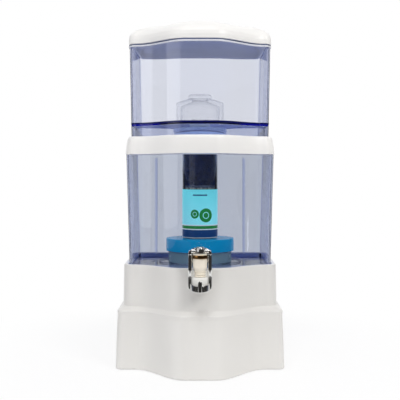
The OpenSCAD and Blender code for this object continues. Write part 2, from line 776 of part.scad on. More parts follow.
module prefilter_cap() {
    c = dome_cap_d / 2;
    soft = 2.5;
    plug_h = 4;
    color("white") placed() translate([0, 0, dome_top_z]) {
        rotate_extrude() polygon(concat([[0, 0], [c, 0]],
            [for (a = [0:15:90]) [c - soft + soft * cos(a), dome_cap_h - soft + soft * sin(a)]],
            [[0, dome_cap_h]]));
        translate([0, 0, -plug_h]) cylinder(r = c - dome_wall - glue_gap, h = plug_h + sink);
    }
}

/* mineral case */

case_lid_r = case_d / 2 + case_lap;
case_neck_r = case_lid_r - case_lid_wall - turn_gap;
case_rim_z = case_top_z - case_lid_t;

module case_body() {
    h = case_rim_z - lower_floor_z;
    r = case_d / 2;
    n = case_neck_r;
    slot_w = 2.4;
    slot_low = 2;
    slot_short = 7;
    color("steelblue", 0.8) placed() translate([0, 0, lower_floor_z]) difference() {
        rotate_extrude() polygon([[0, 0], [r - 1, 0], [r, 1], [r, case_show - 2], [n, case_show + 0.3],
            [n, h], [n - case_wall, h], [n - case_wall, case_show + 2.5], [r - case_wall, case_show],
            [r - case_wall, case_wall], [0, case_wall]]);
        for (k = [0:case_holes - 1]) rotate([0, 0, 360 * (k + 0.5) / case_holes])
            translate([0, -slot_w / 2, case_wall + slot_low]) cube([r + 2, slot_w, case_show - slot_short]);
    }
}

module case_lid() {
    r = case_lid_r;
    h = case_top_z - lower_floor_z - case_show;
    color("steelblue") placed() translate([0, 0, lower_floor_z + case_show]) difference() {
        rotate_extrude() polygon([[0, h - case_lid_t], [r - case_lid_wall, h - case_lid_t],
            [r - case_lid_wall, 0.6], [r - case_lid_wall + 0.6, 0], [r, 0], [r, h - 1.5],
            [r - 1.5, h], [0, h]]);
        for (k = [0:case_holes - 1]) rotate([0, 0, 360 * k / case_holes])
            translate([case_d * 0.4, 0, h - case_lid_t - 1]) cylinder(d = case_hole_d, h = case_lid_t + 2);
    }
}

stone_gap = 0.3;
stone_out = case_d / 2 - case_wall - stone_gap - stone_d / 2;
stone_pitch = stone_d + stone_gap;
stone_layers = floor((case_rim_z - lower_floor_z - case_wall) / stone_pitch);
stone_rings = floor(stone_out / stone_pitch);

module mineral_stones() {
    color("rosybrown") placed() for (layer = [0:stone_layers - 1], k = [0:stone_rings]) {
        r = stone_out - k * stone_pitch;
        count = r > stone_pitch / 2 ? floor(180 / asin(stone_pitch / 2 / r)) : 1;
        for (j = [0:count - 1]) rotate([0, 0, 360 * j / count])
            translate([count > 1 ? r : 0, 0, lower_floor_z + case_wall + stone_gap + stone_d / 2
                + layer * stone_pitch]) sphere(d = stone_d);
    }
}

/* tap */

module at_tap() {
    placed() translate([0, -tap_y, 0]) children();
}

module tap_body() {
    r = valve_d / 2;
    w = waist_d / 2;
    flange_l = 3;
    ridge_h = 1.2;
    color("ivory") difference() {
        union() {
            at_tap() rotate_extrude() polygon([[0, outlet_z], [w, outlet_z], [w, waist_z],
                [w + (r - w) * 0.3, waist_z + waist_l * 0.35], [r - 0.5, valve_low_z], [r, valve_low_z + 1.5],
                [r, valve_top_z - 0.5], [r - 0.5, valve_top_z], [0, valve_top_z]]);
            for (z = [waist_z - 4, waist_z - 6.6])
                at_tap() translate([0, 0, z]) cylinder(d = waist_d + 2 * ridge_out, h = ridge_h);
            placed() on_shank(nut_back - 3) cylinder(d = shank_d, h = tap_y - nut_back + 3);
            placed() on_shank(tap_face) cylinder(d = washer_d - 2, h = flange_l);
        }
        at_tap() translate([0, 0, chamber_z]) cylinder(d = chamber_d, h = valve_top_z - chamber_z + 1);
        at_tap() translate([0, 0, outlet_z - 1]) cylinder(d = way_d, h = chamber_z - outlet_z + 2);
        placed() on_shank(nut_back - 4) cylinder(d = way_d, h = tap_y - nut_back + 4);
    }
}

module spout_bell() {
    r = bell_d / 2;
    n = waist_d / 2 + glue_gap;
    soft = 2.4;
    roof = 2.6;
    color("white") at_tap() translate([0, 0, bell_top_z]) rotate_extrude() polygon([[n, 0], [r - soft, 0],
        [r - 0.3 * soft, -0.33 * soft], [r, -soft], [r, -bell_h], [r - bell_wall, -bell_h],
        [r - bell_wall, -roof], [n, -roof]]);
}

module tap_ring() {
    in_d = valve_d + 2 * glue_gap;
    color("peru") difference() {
        at_tap() translate([0, 0, valve_top_z - 1.1 - tap_ring_h])
            tube(in_d + 2 * tap_ring_t, tap_ring_h, in_d);
        placed() on_shank(tap_face) cylinder(d = shank_d + 2 * turn_gap, h = tap_y - tap_face);
    }
}

module tap_bonnet() {
    bore_floor = valve_top_z - 2;
    color("silver") at_tap() difference() {
        union() {
            translate([0, 0, bonnet_low_z]) cylinder(d = chamber_d - 2 * glue_gap, h = valve_top_z
                - bonnet_low_z + sink);
            translate([0, 0, valve_top_z]) cylinder(d = bonnet_d, h = bonnet_top_z - valve_top_z);
        }
        translate([0, 0, bore_floor]) cylinder(d = tongue_w + 0.8, h = bonnet_top_z);
        translate([0, 0, bonnet_low_z - 1]) cylinder(d = stem_d + 2 * run_gap, h = bonnet_top_z);
        translate([-bonnet_d, 0, pin_z]) rotate([0, 90, 0])
            cylinder(d = pin_d + 2 * run_gap, h = 2 * bonnet_d);
    }
}

module bonnet_cap() {
    r = bonnet_d / 2;
    color("silver") at_tap() translate([0, 0, bonnet_top_z]) rotate_extrude() polygon([[0, 0], [r, 0],
        [r, bonnet_cap_t * 0.35], [r * 0.9, bonnet_cap_t * 0.7], [r * 0.66, bonnet_cap_t * 0.92],
        [0, bonnet_cap_t]]);
}

module lever_side() {
    near = bonnet_d / 2 + turn_gap;
    far = bow_r;
    in = lever_in;
    low = lever_bar / 2 + 2.6 - lever_drop;
    roof_up = 4.8;
    roof_down = 2.9;
    roof_t = 5;
    eye_d = 7;
    translate([0, roof_t / 2, 0]) rotate([90, 0, 0]) linear_extrude(roof_t) polygon([[near, -roof_down],
        [near, roof_up], [near + 1.8, roof_up], [far, -0.8], [far, -eye_d], [in, -eye_d], [in, -roof_down]]);
    translate([near, 0, 0]) rotate([0, 90, 0]) cylinder(d = eye_d, h = in - near + 1);
    translate([in, -lever_depth / 2, low]) cube([lever_bar, lever_depth, -low - 2.2]);
    translate([in + lever_bar / 2, lever_depth / 2, low]) rotate([90, 0, 0])
        cylinder(d = lever_bar, h = lever_depth);
}

module tap_lever() {
    color("silver") at_tap() translate([0, 0, pin_z]) difference() {
        union() {
            lever_side();
            mirror([1, 0, 0]) lever_side();
            translate([0, 0, -lever_drop]) difference() {
                tube(2 * bow_r, bow_h, 2 * (bow_r - bow_t));
                translate([-2 * bow_r, 0, -1]) cube([4 * bow_r, 2 * bow_r, bow_h + 2]);
            }
            translate([0, bow_t - sink - bow_r, -lever_drop]) rotate([90, 0, 0])
                linear_extrude(bow_t + rib_out - sink) polygon([[-rib_w / 2, 0], [rib_w / 2, 0],
                    [rib_w / 2, rib_h - 3], [rib_w / 4, rib_h - 1], [0, rib_h], [-rib_w / 4, rib_h - 1],
                    [-rib_w / 2, rib_h - 3]]);
        }
        translate([-2 * bow_r, 0, 0]) rotate([0, 90, 0]) cylinder(d = pin_d + 2 * glue_gap, h = 4 * bow_r);
    }
}

module lever_pin() {
    web_x = tongue_t / 2 + turn_gap;
    end_x = bow_r - 1;
    web_d = 6.4;
    color("gray") at_tap() {
        for (side = [0, 1]) mirror([side, 0, 0]) translate([web_x, 0, pin_z]) rotate([0, 90, 0]) {
            cylinder(d = web_d, h = 1);
            cylinder(d = pin_d, h = end_x - web_x);
        }
        translate([-web_x - sink, -crank_r * cos(crank_low), crank_z]) rotate([0, 90, 0])
            cylinder(d = crank_d, h = 2 * (web_x + sink));
    }
}

module valve_stem() {
    tongue_z = valve_top_z - 1.5;
    slot_z = crank_z - slot_h / 2;
    rod_z = chamber_z + seal_h;
    color("gray") at_tap() difference() {
        union() {
            translate([-tongue_t / 2, -tongue_w / 2, tongue_z])
                cube([tongue_t, tongue_w, tongue_top_z - tongue_z]);
            translate([0, 0, rod_z]) cylinder(d = stem_d, h = tongue_z - rod_z + sink);
            translate([0, 0, rod_z]) cylinder(d = chamber_d - 2 * collar_gap, h = collar_h);
        }
        translate([-tongue_t, -crank_r - crank_d / 2 - crank_side, slot_z])
            cube([2 * tongue_t, crank_d + crank_r * (1 - cos(crank_low)) + 2 * crank_side, slot_h]);
    }
}

module valve_seal() {
    color("dimgray") at_tap() translate([0, 0, chamber_z]) cylinder(d = chamber_d - 2 * seal_gap, h = seal_h);
}

// a helix as a skin of rings: turns, mean radius, wire radius and length
module coil(turns, r, wire, l) {
    steps = 14;
    n = 8;
    count = turns * steps;
    points = [for (i = [0:count], j = [0:n - 1])
        let (a = 360 * i / steps, b = 360 * j / n, q = r + wire * cos(b))
        [q * cos(a), q * sin(a), l * i / count + wire * sin(b)]];
    sides = [for (i = [0:count - 1], j = [0:n - 1], h = [0, 1])
        let (k = (j + 1) % n, p = i * n, q = p + n)
        h == 0 ? [p + j, p + k, q + k] : [p + j, q + k, q + j]];
    polyhedron(points, faces = concat([[for (j = [n - 1:-1:0]) j]], sides,
        [[for (j = [0:n - 1]) count * n + j]]));
}

module valve_spring() {
    wire = 0.4;
    turns = 5;
    coil_r = 3.3;
    length = packing_z - packing_t / 2 - glue_gap - spring_z - 2 * wire - 2 * glue_gap;
    color("silver") at_tap() translate([0, 0, spring_z + wire + glue_gap]) coil(turns, coil_r, wire, length);
}

module stem_packing() {
    color("dimgray") at_tap() translate([0, 0, packing_z]) rotate_extrude()
        translate([stem_d / 2 + run_gap + packing_t / 2, 0]) circle(d = packing_t);
}

module outer_washer() {
    color("dimgray") placed() on_shank(boss_front) tube(washer_d, washer_t, shank_d + 2 * glue_gap);
}

module inner_washer() {
    color("dimgray") placed() on_shank(boss_back - washer_t) tube(washer_d, washer_t, shank_d + 2 * glue_gap);
}

module lock_nut() {
    color("white") placed() on_shank(nut_back) difference() {
        cylinder(d = nut_w, h = nut_t, $fn = 6);
        translate([0, 0, -1]) cylinder(d = shank_d + 2 * glue_gap, h = nut_t + 2);
    }
}

base_stand();
rubber_feet();
lower_tank();
middle_cover();
upper_tank();
lid();
cartridge_cap();
cartridge_seal();
cartridge_shell();
carbon_bed();
zeolite_bed();
sand_bed();
ceramic_bed();
media_pads();
cartridge_end();
cartridge_label();
prefilter_plate();
prefilter_gasket();
prefilter_dome();
prefilter_cap();
case_body();
case_lid();
mineral_stones();
tap_body();
spout_bell();
tap_ring();
tap_bonnet();
bonnet_cap();
tap_lever();
lever_pin();
valve_stem();
valve_seal();
valve_spring();
stem_packing();
outer_washer();
inner_washer();
lock_nut();
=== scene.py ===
# %% [markdown]
# # A gravity water filter with a lever tap
# Raw water goes into the upper tank, seeps through a pre-filter and a hanging cartridge into the lower
# tank, and leaves it through the tap. The construction is already packed as a fixed frame, so this lesson
# only makes surfaces and finishes that fit it. Everything is worked out in millimetres around the axis of
# the tanks, or of the tap, and put into metres at the end.

# %% Load the frame
import math

import bpy
import numpy as np
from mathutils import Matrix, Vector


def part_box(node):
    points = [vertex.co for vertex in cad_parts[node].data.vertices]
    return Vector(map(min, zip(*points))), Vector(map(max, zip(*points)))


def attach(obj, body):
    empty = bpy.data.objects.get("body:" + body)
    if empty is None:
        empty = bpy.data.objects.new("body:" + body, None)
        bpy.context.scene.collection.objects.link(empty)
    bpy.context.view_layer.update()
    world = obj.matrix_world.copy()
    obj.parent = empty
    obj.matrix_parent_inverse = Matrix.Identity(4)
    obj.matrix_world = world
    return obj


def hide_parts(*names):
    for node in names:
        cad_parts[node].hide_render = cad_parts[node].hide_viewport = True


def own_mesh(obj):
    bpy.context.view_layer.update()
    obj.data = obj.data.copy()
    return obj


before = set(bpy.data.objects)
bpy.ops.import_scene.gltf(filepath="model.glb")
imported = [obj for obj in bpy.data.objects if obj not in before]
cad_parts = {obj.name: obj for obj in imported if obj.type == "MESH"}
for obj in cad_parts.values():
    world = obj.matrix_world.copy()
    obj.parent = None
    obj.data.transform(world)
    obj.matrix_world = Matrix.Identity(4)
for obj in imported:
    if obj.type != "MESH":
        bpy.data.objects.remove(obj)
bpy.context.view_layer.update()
MM = 0.001


def middle_y(node):
    """How far back the middle of one of the frame's parts lies, in metres."""
    low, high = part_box(node)
    return (low.y + high.y) / 2


AXIS_Y, TAP_Y = middle_y("cartridge_seal"), middle_y("spout_bell")
print("tank axis at y", round(AXIS_Y, 4), "tap axis at y", round(TAP_Y, 4))

# %% [markdown]
# ## Shader maths as Python
# A finish is a small graph of nodes. Wiring it by hand hides the thought behind it, so a thin wrapper
# lets a socket take part in ordinary sums: `1 - mask` adds the Math node by itself. One method makes
# every other node, first its settings and then its inputs.

# %% The socket wrapper
class Socket:
    """An output socket that takes part in Python sums. Each sum adds one Math node."""

    def __init__(self, graph, socket):
        self.graph, self.socket = graph, socket

    def math(self, operation, first, second=0.0):
        """One Math node on two sockets or numbers."""
        return self.graph.node("ShaderNodeMath", {"operation": operation}, [first, second])

    def __add__(self, other):
        return self.math("ADD", self, other)

    def __sub__(self, other):
        return self.math("SUBTRACT", self, other)

    def __rsub__(self, other):
        return self.math("SUBTRACT", other, self)

    def __mul__(self, other):
        return self.math("MULTIPLY", self, other)

    def __pow__(self, other):
        return self.math("POWER", self, other)

    def step(self, start, end):
        """0 at start, 1 at end, and a smooth S between them."""
        return self.graph.node("ShaderNodeMapRange", {"interpolation_type": "SMOOTHSTEP"},
                               {"Value": self, "From Min": start, "From Max": end})

    def size(self):
        """The value without its sign."""
        return self.math("ABSOLUTE", self)

    __radd__, __rmul__ = __add__, __mul__


# %% The graph and its one way to make a node
class Graph:
    """The nodes of a material or of the world, with the output that they end in."""

    def __init__(self, owner, end):
        owner.use_nodes = True
        self.tree = owner.node_tree
        self.tree.nodes.clear()
        self.end = self.tree.nodes.new(end)

    def node(self, kind, settings=None, inputs=(), out=0):
        """A node of this kind: its settings, then a value or a link for each input. Gives output `out`."""
        made = self.tree.nodes.new(kind)
        for key, value in (settings or {}).items():
            setattr(made, key, value)
        pairs = inputs.items() if isinstance(inputs, dict) else enumerate(inputs)
        for key, value in pairs:
            if isinstance(value, Socket):
                self.tree.links.new(value.socket, made.inputs[key])
            else:
                made.inputs[key].default_value = value
        return Socket(self, made.outputs[out])

    def outputs(self, kind, keys, inputs=()):
        """Several outputs of one node."""
        made = self.node(kind, inputs=inputs).socket.node
        return [Socket(self, made.outputs[key]) for key in keys]

    def blend(self, share, first, second):
        """A colour mixed from two, by share."""
        return self.node("ShaderNodeMix", {"data_type": "RGBA"}, {0: share, 6: first, 7: second}, out=2)

    def coat(self, shader, volume=None):
        """Sends a shader, and a volume if there is one, to the output."""
        self.tree.links.new(shader.socket, self.end.inputs["Surface"])
        if volume is not None:
            self.tree.links.new(volume.socket, self.end.inputs["Volume"])
        return self


# %% The finish and its patterns
class Finish(Graph):
    """A material under a maker's name. It keeps the record's slot that it belongs to, which is not used here.
    """

    def __init__(self, name, slot=None):
        self.mat, self.slot = bpy.data.materials.new(name), slot
        super().__init__(self.mat, "ShaderNodeOutputMaterial")

    def place(self, scale=(1, 1, 1), shift=(0, 0, 0)):
        """The piece's own coordinates, moved and stretched by a Mapping node."""
        here = self.node("ShaderNodeTexCoord", out=3)
        return self.node("ShaderNodeMapping", inputs={"Vector": here, "Location": shift, "Scale": scale})

    def axes(self, shift=(0, 0, 0)):
        """x, y and z of the piece's own coordinates, in metres."""
        return self.outputs("ShaderNodeSeparateXYZ", "XYZ", [self.place(shift=shift)])

    def noise(self, scale, detail=3.0, stretch=(1, 1, 1)):
        """Soft clouds between 0 and 1; scale is how many fit in a metre."""
        return self.node("ShaderNodeTexNoise", inputs={"Vector": self.place(scale=stretch),
                                                       "Scale": scale, "Detail": detail})

    def bump(self, height, strength, distance):
        """A bent normal: height 1 stands out by the distance, in metres."""
        return self.node("ShaderNodeBump", inputs={"Height": height, "Strength": strength,
                                                   "Distance": distance})

    def slant(self):
        """0 where the surface faces the eye and 1 where it is seen edge-on."""
        return self.node("ShaderNodeLayerWeight", inputs={"Blend": 0.5}, out=1)


def shade(colour, share):
    """The same colour made darker: red, green and blue times the share."""
    return tuple(c * share for c in colour[:3]) + (1.0,)


print("half as bright as a light grey:", shade((0.8, 0.8, 0.8), 0.5))

# %% [markdown]
# ## Moulded plastic
# The lid, cover and stand are injection moulded and polished. Such a surface isn't a mirror: it has a very
# fine orange peel, its gloss is a little uneven where it has been wiped, and its colour drifts by a few
# per cent. A noise for each of these is enough, as long as none of them can be seen on its own.

# %% The plastic finishes
PEEL = 0.00004


def plastic(name, slot, colour, rough, drift=0.03, grain=900, shine=0.5):
    """Glossy moulded plastic: colour drift in broad clouds, uneven gloss, and an orange peel bump."""
    f = Finish(name, slot)
    clouds = f.noise(7, 2).step(0.3, 0.7)
    wiped = f.noise(38, 4, (1, 1, 0.4))
    shader = f.node("ShaderNodeBsdfPrincipled", inputs={
        "Base Color": f.blend(clouds, shade(colour, 1 - drift), colour),
        "Roughness": rough + (wiped - 0.5) * 0.12, "Normal": f.bump(f.noise(grain, 2), 0.35, PEEL),
        "IOR": 1.5, "Specular IOR Level": shine})
    return f.coat(shader)


lid_white = plastic("lid_white_plastic", "lid_white", (0.94, 0.93, 0.905, 1), 0.3, shine=0.35)
stand_white = plastic("stand_white_plastic", "stand_white", (0.765, 0.752, 0.722, 1), 0.3)
tap_white = plastic("tap_white_plastic", "tap_white", (0.86, 0.85, 0.81, 1), 0.22)
tap_ivory = plastic("tap_ivory_plastic", "tap_ivory", (0.93, 0.86, 0.73, 1), 0.24, drift=0.06)
case_blue = plastic("case_blue_plastic", "case_blue", (0.0, 0.40, 0.68, 1), 0.22, drift=0.08, shine=0.2)
cap_navy = plastic("cap_navy_plastic", "cap_navy", (0.78, 0.88, 0.86, 1), 0.3, drift=0.05)
inner_plastic = plastic("inner_matt_plastic", "inner_plastic", (0.72, 0.72, 0.70, 1), 0.5, grain=2500)
print("plastic finishes with a peel of", PEEL / MM, "mm")

# %% [markdown]
# ## Tinted clear plastic
# The tanks are clear but blue-tinted, and the tint sits in the depth of the plastic. Seen edge-on, as at a
# rim or along a floor, the light has a long way through it and comes out deep blue. A coloured surface
# can't do that, so the finish is clear glass with an absorbing volume inside. Its skin also turns deep blue
# where it is seen at a slant: partly for the longer way through the tint, and partly as painted shade for
# the dark edges that bent light draws. Lamps shine straight through it by way of the shadow ray, because
# bent shadow light would cost far more samples.

# %% The clear finishes
# Deep blue that the skin takes at a slant: partly the longer way through the tint, partly painted shade
EDGE_DEPTH_AND_SHADE, EDGE_SLANT = (0.10, 0.13, 0.30, 1), (0.45, 0.95)
UNDER_FLOOR = 0.3768, 0.3773        # heights where the skirt under the upper floor ends; below them its skin is painted shade
TO_THE_BACK = 0.0, 0.08             # y between which the painted shade of the back comes up


def clear(name, slot, tint, depth, skin, light, low=None, back=None):
    """Clear plastic: a refracting skin, and a volume that takes off 1 - tint, depth times a metre. The
    skin may be painted a little darker under the floor, or darker towards the back, which is painted shade,
    and at a slant it takes the edge colour, partly depth and partly painted shade. Shadow and diffuse rays
    go straight through and take the colour `light`."""
    f = Finish(name, slot)
    if low:
        skin = f.blend(f.axes()[2].step(*UNDER_FLOOR), low, skin)
    if back:
        skin = f.blend(f.axes()[1].step(*TO_THE_BACK), skin, back)
    skin = f.blend(f.slant().step(*EDGE_SLANT), skin, EDGE_DEPTH_AND_SHADE)
    glass = f.node("ShaderNodeBsdfPrincipled", inputs={
        "Base Color": skin, "Roughness": 0.0, "IOR": 1.49, "Transmission Weight": 1.0})
    straight = f.node("ShaderNodeBsdfTransparent", inputs=[light])
    shadow, scattered = f.outputs("ShaderNodeLightPath", ["Is Shadow Ray", "Is Diffuse Ray"])
    shader = f.node("ShaderNodeMixShader", inputs=[shadow + scattered, glass, straight])
    return f.coat(shader, f.node("ShaderNodeVolumeAbsorption", inputs={"Color": tint, "Density": depth}))


# The upper tank's skirt under its floor gets a darker, bluer skin: painted shade.
tank_upper = clear("tinted_clear_upper", "tinted_clear", (0.10, 0.25, 0.86, 1), 50,
                   skin=(1.0, 0.995, 0.962, 1), light=(0.88, 0.91, 1.0, 1), low=(0.95, 0.96, 0.955, 1))
# The lower tank's skin is painted darker towards the back: painted shade.
tank_lower = clear("tinted_clear_lower", "tinted_clear", (0.12, 0.27, 0.84, 1), 60,
                   skin=(0.95, 0.95, 0.90, 1), light=(0.97, 0.98, 1.0, 1), back=(0.70, 0.715, 0.73, 1))
shell_clear = clear("shell_clear", "shell_clear", (0.3, 0.5, 0.85, 1), 60,
                    skin=(0.97, 0.98, 0.99, 1), light=(0.97, 0.98, 1.0, 1))
print("clear finishes:", tank_upper.mat.name, tank_lower.mat.name, shell_clear.mat.name)


# %% Smoky plastic of the mineral case and the tank's edges, two of them a painted highlight and a painted shadow
def smoky(name, slot, colour, through=0.35):
    """Half clear plastic with pigment in it: some of the light goes through, the rest shows the colour."""
    f = Finish(name, slot)
    shader = f.node("ShaderNodeBsdfPrincipled", inputs={
        "Base Color": f.blend(f.noise(18, 3), colour, shade(colour, 0.8)),
        "Roughness": 0.2 + f.noise(50, 3) * 0.1, "Transmission Weight": through})
    return f.coat(shader)


case_smoke = smoky("case_smoke", "case_smoke", (0.36, 0.55, 0.56, 1))
# A pale band on the rim's bead: a painted highlight.
painted_rim_highlight = smoky("painted_rim_highlight", "tinted_clear", (0.93, 0.95, 1.0, 1), 0.08)
# A dark band in the gap under the lid: a painted shadow.
painted_gap_shadow = smoky("painted_gap_shadow", "tinted_clear", (0.13, 0.17, 0.33, 1), 0.2)
deep_blue = smoky("deep_blue", "tinted_clear", (0.003, 0.006, 0.115, 1), 0.05)
print("half clear finishes:", case_smoke.mat.name, painted_rim_highlight.mat.name, painted_gap_shadow.mat.name, deep_blue.mat.name)


# %% Frosted plastic of the pre-filter
def frosted(name, slot, colour):
    """Thin milky plastic. The share of milk is 0.35 times the slant's cube plus 0.04, so the middle is
    nearly clear. The milk is a soft gloss, and light from behind glows through it."""
    f = Finish(name, slot)
    milk = f.node("ShaderNodeBsdfPrincipled", inputs={
        "Base Color": f.blend(f.noise(25, 3), colour, shade(colour, 0.94)),
        "Roughness": 0.34 + f.noise(90, 3) * 0.12, "Specular IOR Level": 0.3})
    glow = f.node("ShaderNodeBsdfTranslucent", inputs=[shade(colour, 0.97)])
    milk = f.node("ShaderNodeMixShader", inputs=[0.75, milk, glow])
    straight = f.node("ShaderNodeBsdfTransparent", inputs=[(1, 1, 1, 1)])
    return f.coat(f.node("ShaderNodeMixShader", inputs=[f.slant() ** 3.0 * 0.35 + 0.04, straight, milk]))


frosted_clear = frosted("frosted_clear", "frosted_clear", (0.98, 0.955, 0.87, 1))
print("frosted finish:", frosted_clear.mat.name)

# %% [markdown]
# ## Metal, rubber, grains and felt
# Chrome shows the room more than itself, so it gets almost no colour and a gloss that is broken only by
# fine wipe marks. The bronze ring is rougher and warmer. Rubber is dull and grainy. The filter beds are
# heaps of grains, which a cell pattern gives in colour and in height, with painted shade in the gaps between
# the grains.

# %% The metals
def metal(name, slot, colour, rough, wipes=0.08):
    """Plated metal: full metallic, gloss varied by long wipe marks."""
    f = Finish(name, slot)
    marks = f.noise(60, 4, (1, 1, 0.25))
    shader = f.node("ShaderNodeBsdfPrincipled", inputs={
        "Base Color": f.blend(f.noise(220, 2), colour, shade(colour, 0.88)), "Metallic": 1.0,
        "Roughness": rough + marks * wipes})
    return f.coat(shader)


chrome = metal("chrome_plate", "chrome", (0.78, 0.78, 0.77, 1), 0.07, 0.06)
bronze = metal("bronze_ring", "bronze", (0.40, 0.22, 0.08, 1), 0.14)
steel = metal("turned_steel", "steel", (0.62, 0.62, 0.63, 1), 0.28, 0.15)
print("metals:", chrome.mat.name, bronze.mat.name, steel.mat.name)


# %% Rubber
def rubber(name, slot, colour):
    """Rubber: dull, with a fine grain that a thumb would feel."""
    f = Finish(name, slot)
    grain = f.noise(1800, 4)
    shader = f.node("ShaderNodeBsdfPrincipled", inputs={
        "Base Color": f.blend(f.noise(30, 3), colour, shade(colour, 0.75)),
        "Roughness": 0.62 + grain * 0.2, "Normal": f.bump(grain, 0.4, 0.0001)})
    return f.coat(shader)


black_rubber = rubber("black_rubber", "black_rubber", (0.035, 0.035, 0.04, 1))
seal_rubber = rubber("pale_silicone", "seal_rubber", (0.62, 0.62, 0.6, 1))
print("rubbers:", black_rubber.mat.name, seal_rubber.mat.name)


# %% Grains and felt
def grains(name, slot, dark, light, per_metre, height=0.0006, rough=0.8):
    """A heap of grains: each cell of a Voronoi pattern gets a tone between two colours and stands up, and the
    gaps between the cells are painted dark as shade, at 0.3 of the dark colour.
    """
    f = Finish(name, slot)
    where = {"Vector": f.place(), "Scale": per_metre}
    cell = f.node("ShaderNodeTexVoronoi", inputs=where, out="Color")
    away = f.node("ShaderNodeTexVoronoi", inputs=where, out="Distance")
    pick = f.node("ShaderNodeSeparateColor", inputs=[cell])
    top = away.step(0.75, 0.35)
    shader = f.node("ShaderNodeBsdfPrincipled", inputs={
        # Between the grains the colour falls to 0.3 of the dark one: painted shade.
        "Base Color": f.blend(top, shade(dark, 0.3), f.blend(pick, dark, light)),
        "Roughness": rough - pick * 0.15, "Normal": f.bump(top, 0.8, height),
        "Specular IOR Level": 0.15})
    return f.coat(shader)


carbon = grains("activated_carbon", "carbon", (0.001, 0.010, 0.055, 1), (0.004, 0.022, 0.11, 1), 420)
zeolite = grains("zeolite_grains", "zeolite", (0.50, 0.44, 0.33, 1), (0.72, 0.66, 0.52, 1), 330)
sand = grains("silica_sand", "sand", (0.66, 0.58, 0.42, 1), (0.86, 0.80, 0.66, 1), 900)
balls = grains("ceramic_balls", "ceramic_balls", (0.42, 0.2, 0.11, 1), (0.62, 0.35, 0.2, 1), 220, 0.0015)
pebbles = grains("mineral_pebbles", "stones", (0.30, 0.26, 0.22, 1), (0.62, 0.56, 0.48, 1), 90, 0.0004, 0.45)
felt = grains("felt_pad", "felt", (0.13, 0.16, 0.22, 1), (0.24, 0.27, 0.34, 1), 1600, 0.0003, 0.95)
print("finishes made so far:", len(bpy.data.materials))

# %% [markdown]
# ## Surfaces from two parameters
# Every big piece here is one outline carried along an upright profile. The outline has a bowed front,
# rounded corners, straight sides and a flat back. A profile row says which plan it follows, how far it is
# moved outward and how high it lies, so a wall, its rim and its floor are one run of rows.

# %% Plans and the outline
LOWER = np.array([111.2, 90.0, 81.0, 41.5, 0.0])     # half width, front, back, bow, corner face
UPPER = np.array([107.5, 89.0, 81.0, 44.0, 0.0])
LEDGE = np.array([128.6, 108.1, 100.6, 43.0, 22.0])
FOOT = np.array([131.0, 114.1, 103.0, 56.0, 22.0])
CORNER, TIGHTEST, CROWN, SHOULDER = 10.0, 1.5, 4.0, 76.0
DIP_W, RIB_X, RIB_W = 20.0, 78.0, 1.3
SIDE_STEPS = np.array([0.03, 0.3, 0.7, 0.97])
BACK_STEPS = np.concatenate([[0.97, 0.9, 0.82], np.arange(0.775, 0.70, -0.005),      # finer at the ribs
                             [0.6, 0.45, 0.3, 0.15, 0]])


def row(z, plan, grow=0.0, dip=0.0, rib=0.0):
    """One row of a profile: a plan, its height, how far it is moved outward, its dip and its ribs."""
    return np.array([*plan, grow, dip, rib, z])


def between(first, second, share):
    """A plan on the way from one to another."""
    return first * (1 - share) + second * share


def outline(rows):
    """Rings from rows. In front, the distance from the axis is the corner's, plus the bow times
    (1 + cos(pi s)) / 2 where s runs over the shoulder, plus a flat parabola; exp(-(x / w)^2) dips it.
    Corners are quarter circles, sides and back are straight, and ribs stand in from the back as
    exp(-((x - rib) / w)^4)."""
    half, front, back, bow, face, grow, dip, rib, z = np.atleast_2d(rows).T[:, :, None]
    far = half - CORNER - face
    near = np.maximum(far * 0.1, far - SHOULDER)
    x = np.concatenate([near * np.linspace(0, 1, 8)[:-1],
                        near + (far - near) * np.linspace(0, 1, 41)[:-1]], 1)
    s = (1 + np.cos(np.pi * np.clip((x - near) / (far - near), 0, 1))) / 2
    y = dip * np.exp(-(x / DIP_W) ** 2) - grow - front - (bow - CROWN) * s
    y = y - CROWN * np.clip(1 - (x / far) ** 2, 0, 1)
    r = np.maximum(CORNER + grow, TIGHTEST)
    cx, fy, by = half + grow - r, front + grow - r, back + grow - r
    turn = np.linspace(0, np.pi / 2, 13)
    back_x = cx * BACK_STEPS
    back_y = by + r - rib * np.exp(-((back_x - RIB_X) / RIB_W) ** 4)
    right_x = np.concatenate([x, cx + r * np.sin(turn), cx + r + 0 * SIDE_STEPS,
                              cx + r * np.cos(turn), back_x], 1)
    right_y = np.concatenate([y, -fy - r * np.cos(turn), (fy + by) * SIDE_STEPS - fy,
                              by + r * np.sin(turn), back_y], 1)
    ring_x = np.concatenate([right_x, -right_x[:, -2:0:-1]], 1)
    ring_y = np.concatenate([right_y, right_y[:, -2:0:-1]], 1)
    return np.stack([ring_x, ring_y, z + 0 * ring_x], -1)


print("points round a tank:", outline(row(0, LOWER)).shape[1])


# %% Rounding a profile
def soften(rows, cut, steps=5, most=0.45):
    """Rounds the corners of a run of rows. Each corner P is cut back by `cut` to A and B, but by no more
    than a share `most` of an edge, and the parabola (1 - t)^2 A + 2 t (1 - t) P + t^2 B takes its place."""
    rows = np.asarray(rows, float)
    from_plans = rows.shape[1] > 2
    reach = rows[:, 0] + (rows[:, 5] if from_plans else 0)
    gap = np.maximum(np.hypot(np.diff(reach), np.diff(rows[:, -1])), 1e-6)
    cut = np.broadcast_to(cut, len(rows) - 2)
    corner = rows[1:-1]
    before = corner + (rows[:-2] - corner) * np.minimum(cut / gap[:-1], most)[:, None]
    after = corner + (rows[2:] - corner) * np.minimum(cut / gap[1:], most)[:, None]
    t = np.linspace(0, 1, steps)[:, None, None]
    bent = (1 - t) ** 2 * before + 2 * t * (1 - t) * corner + t ** 2 * after
    return np.concatenate([rows[:1], bent.transpose(1, 0, 2).reshape(-1, rows.shape[1]), rows[-1:]])


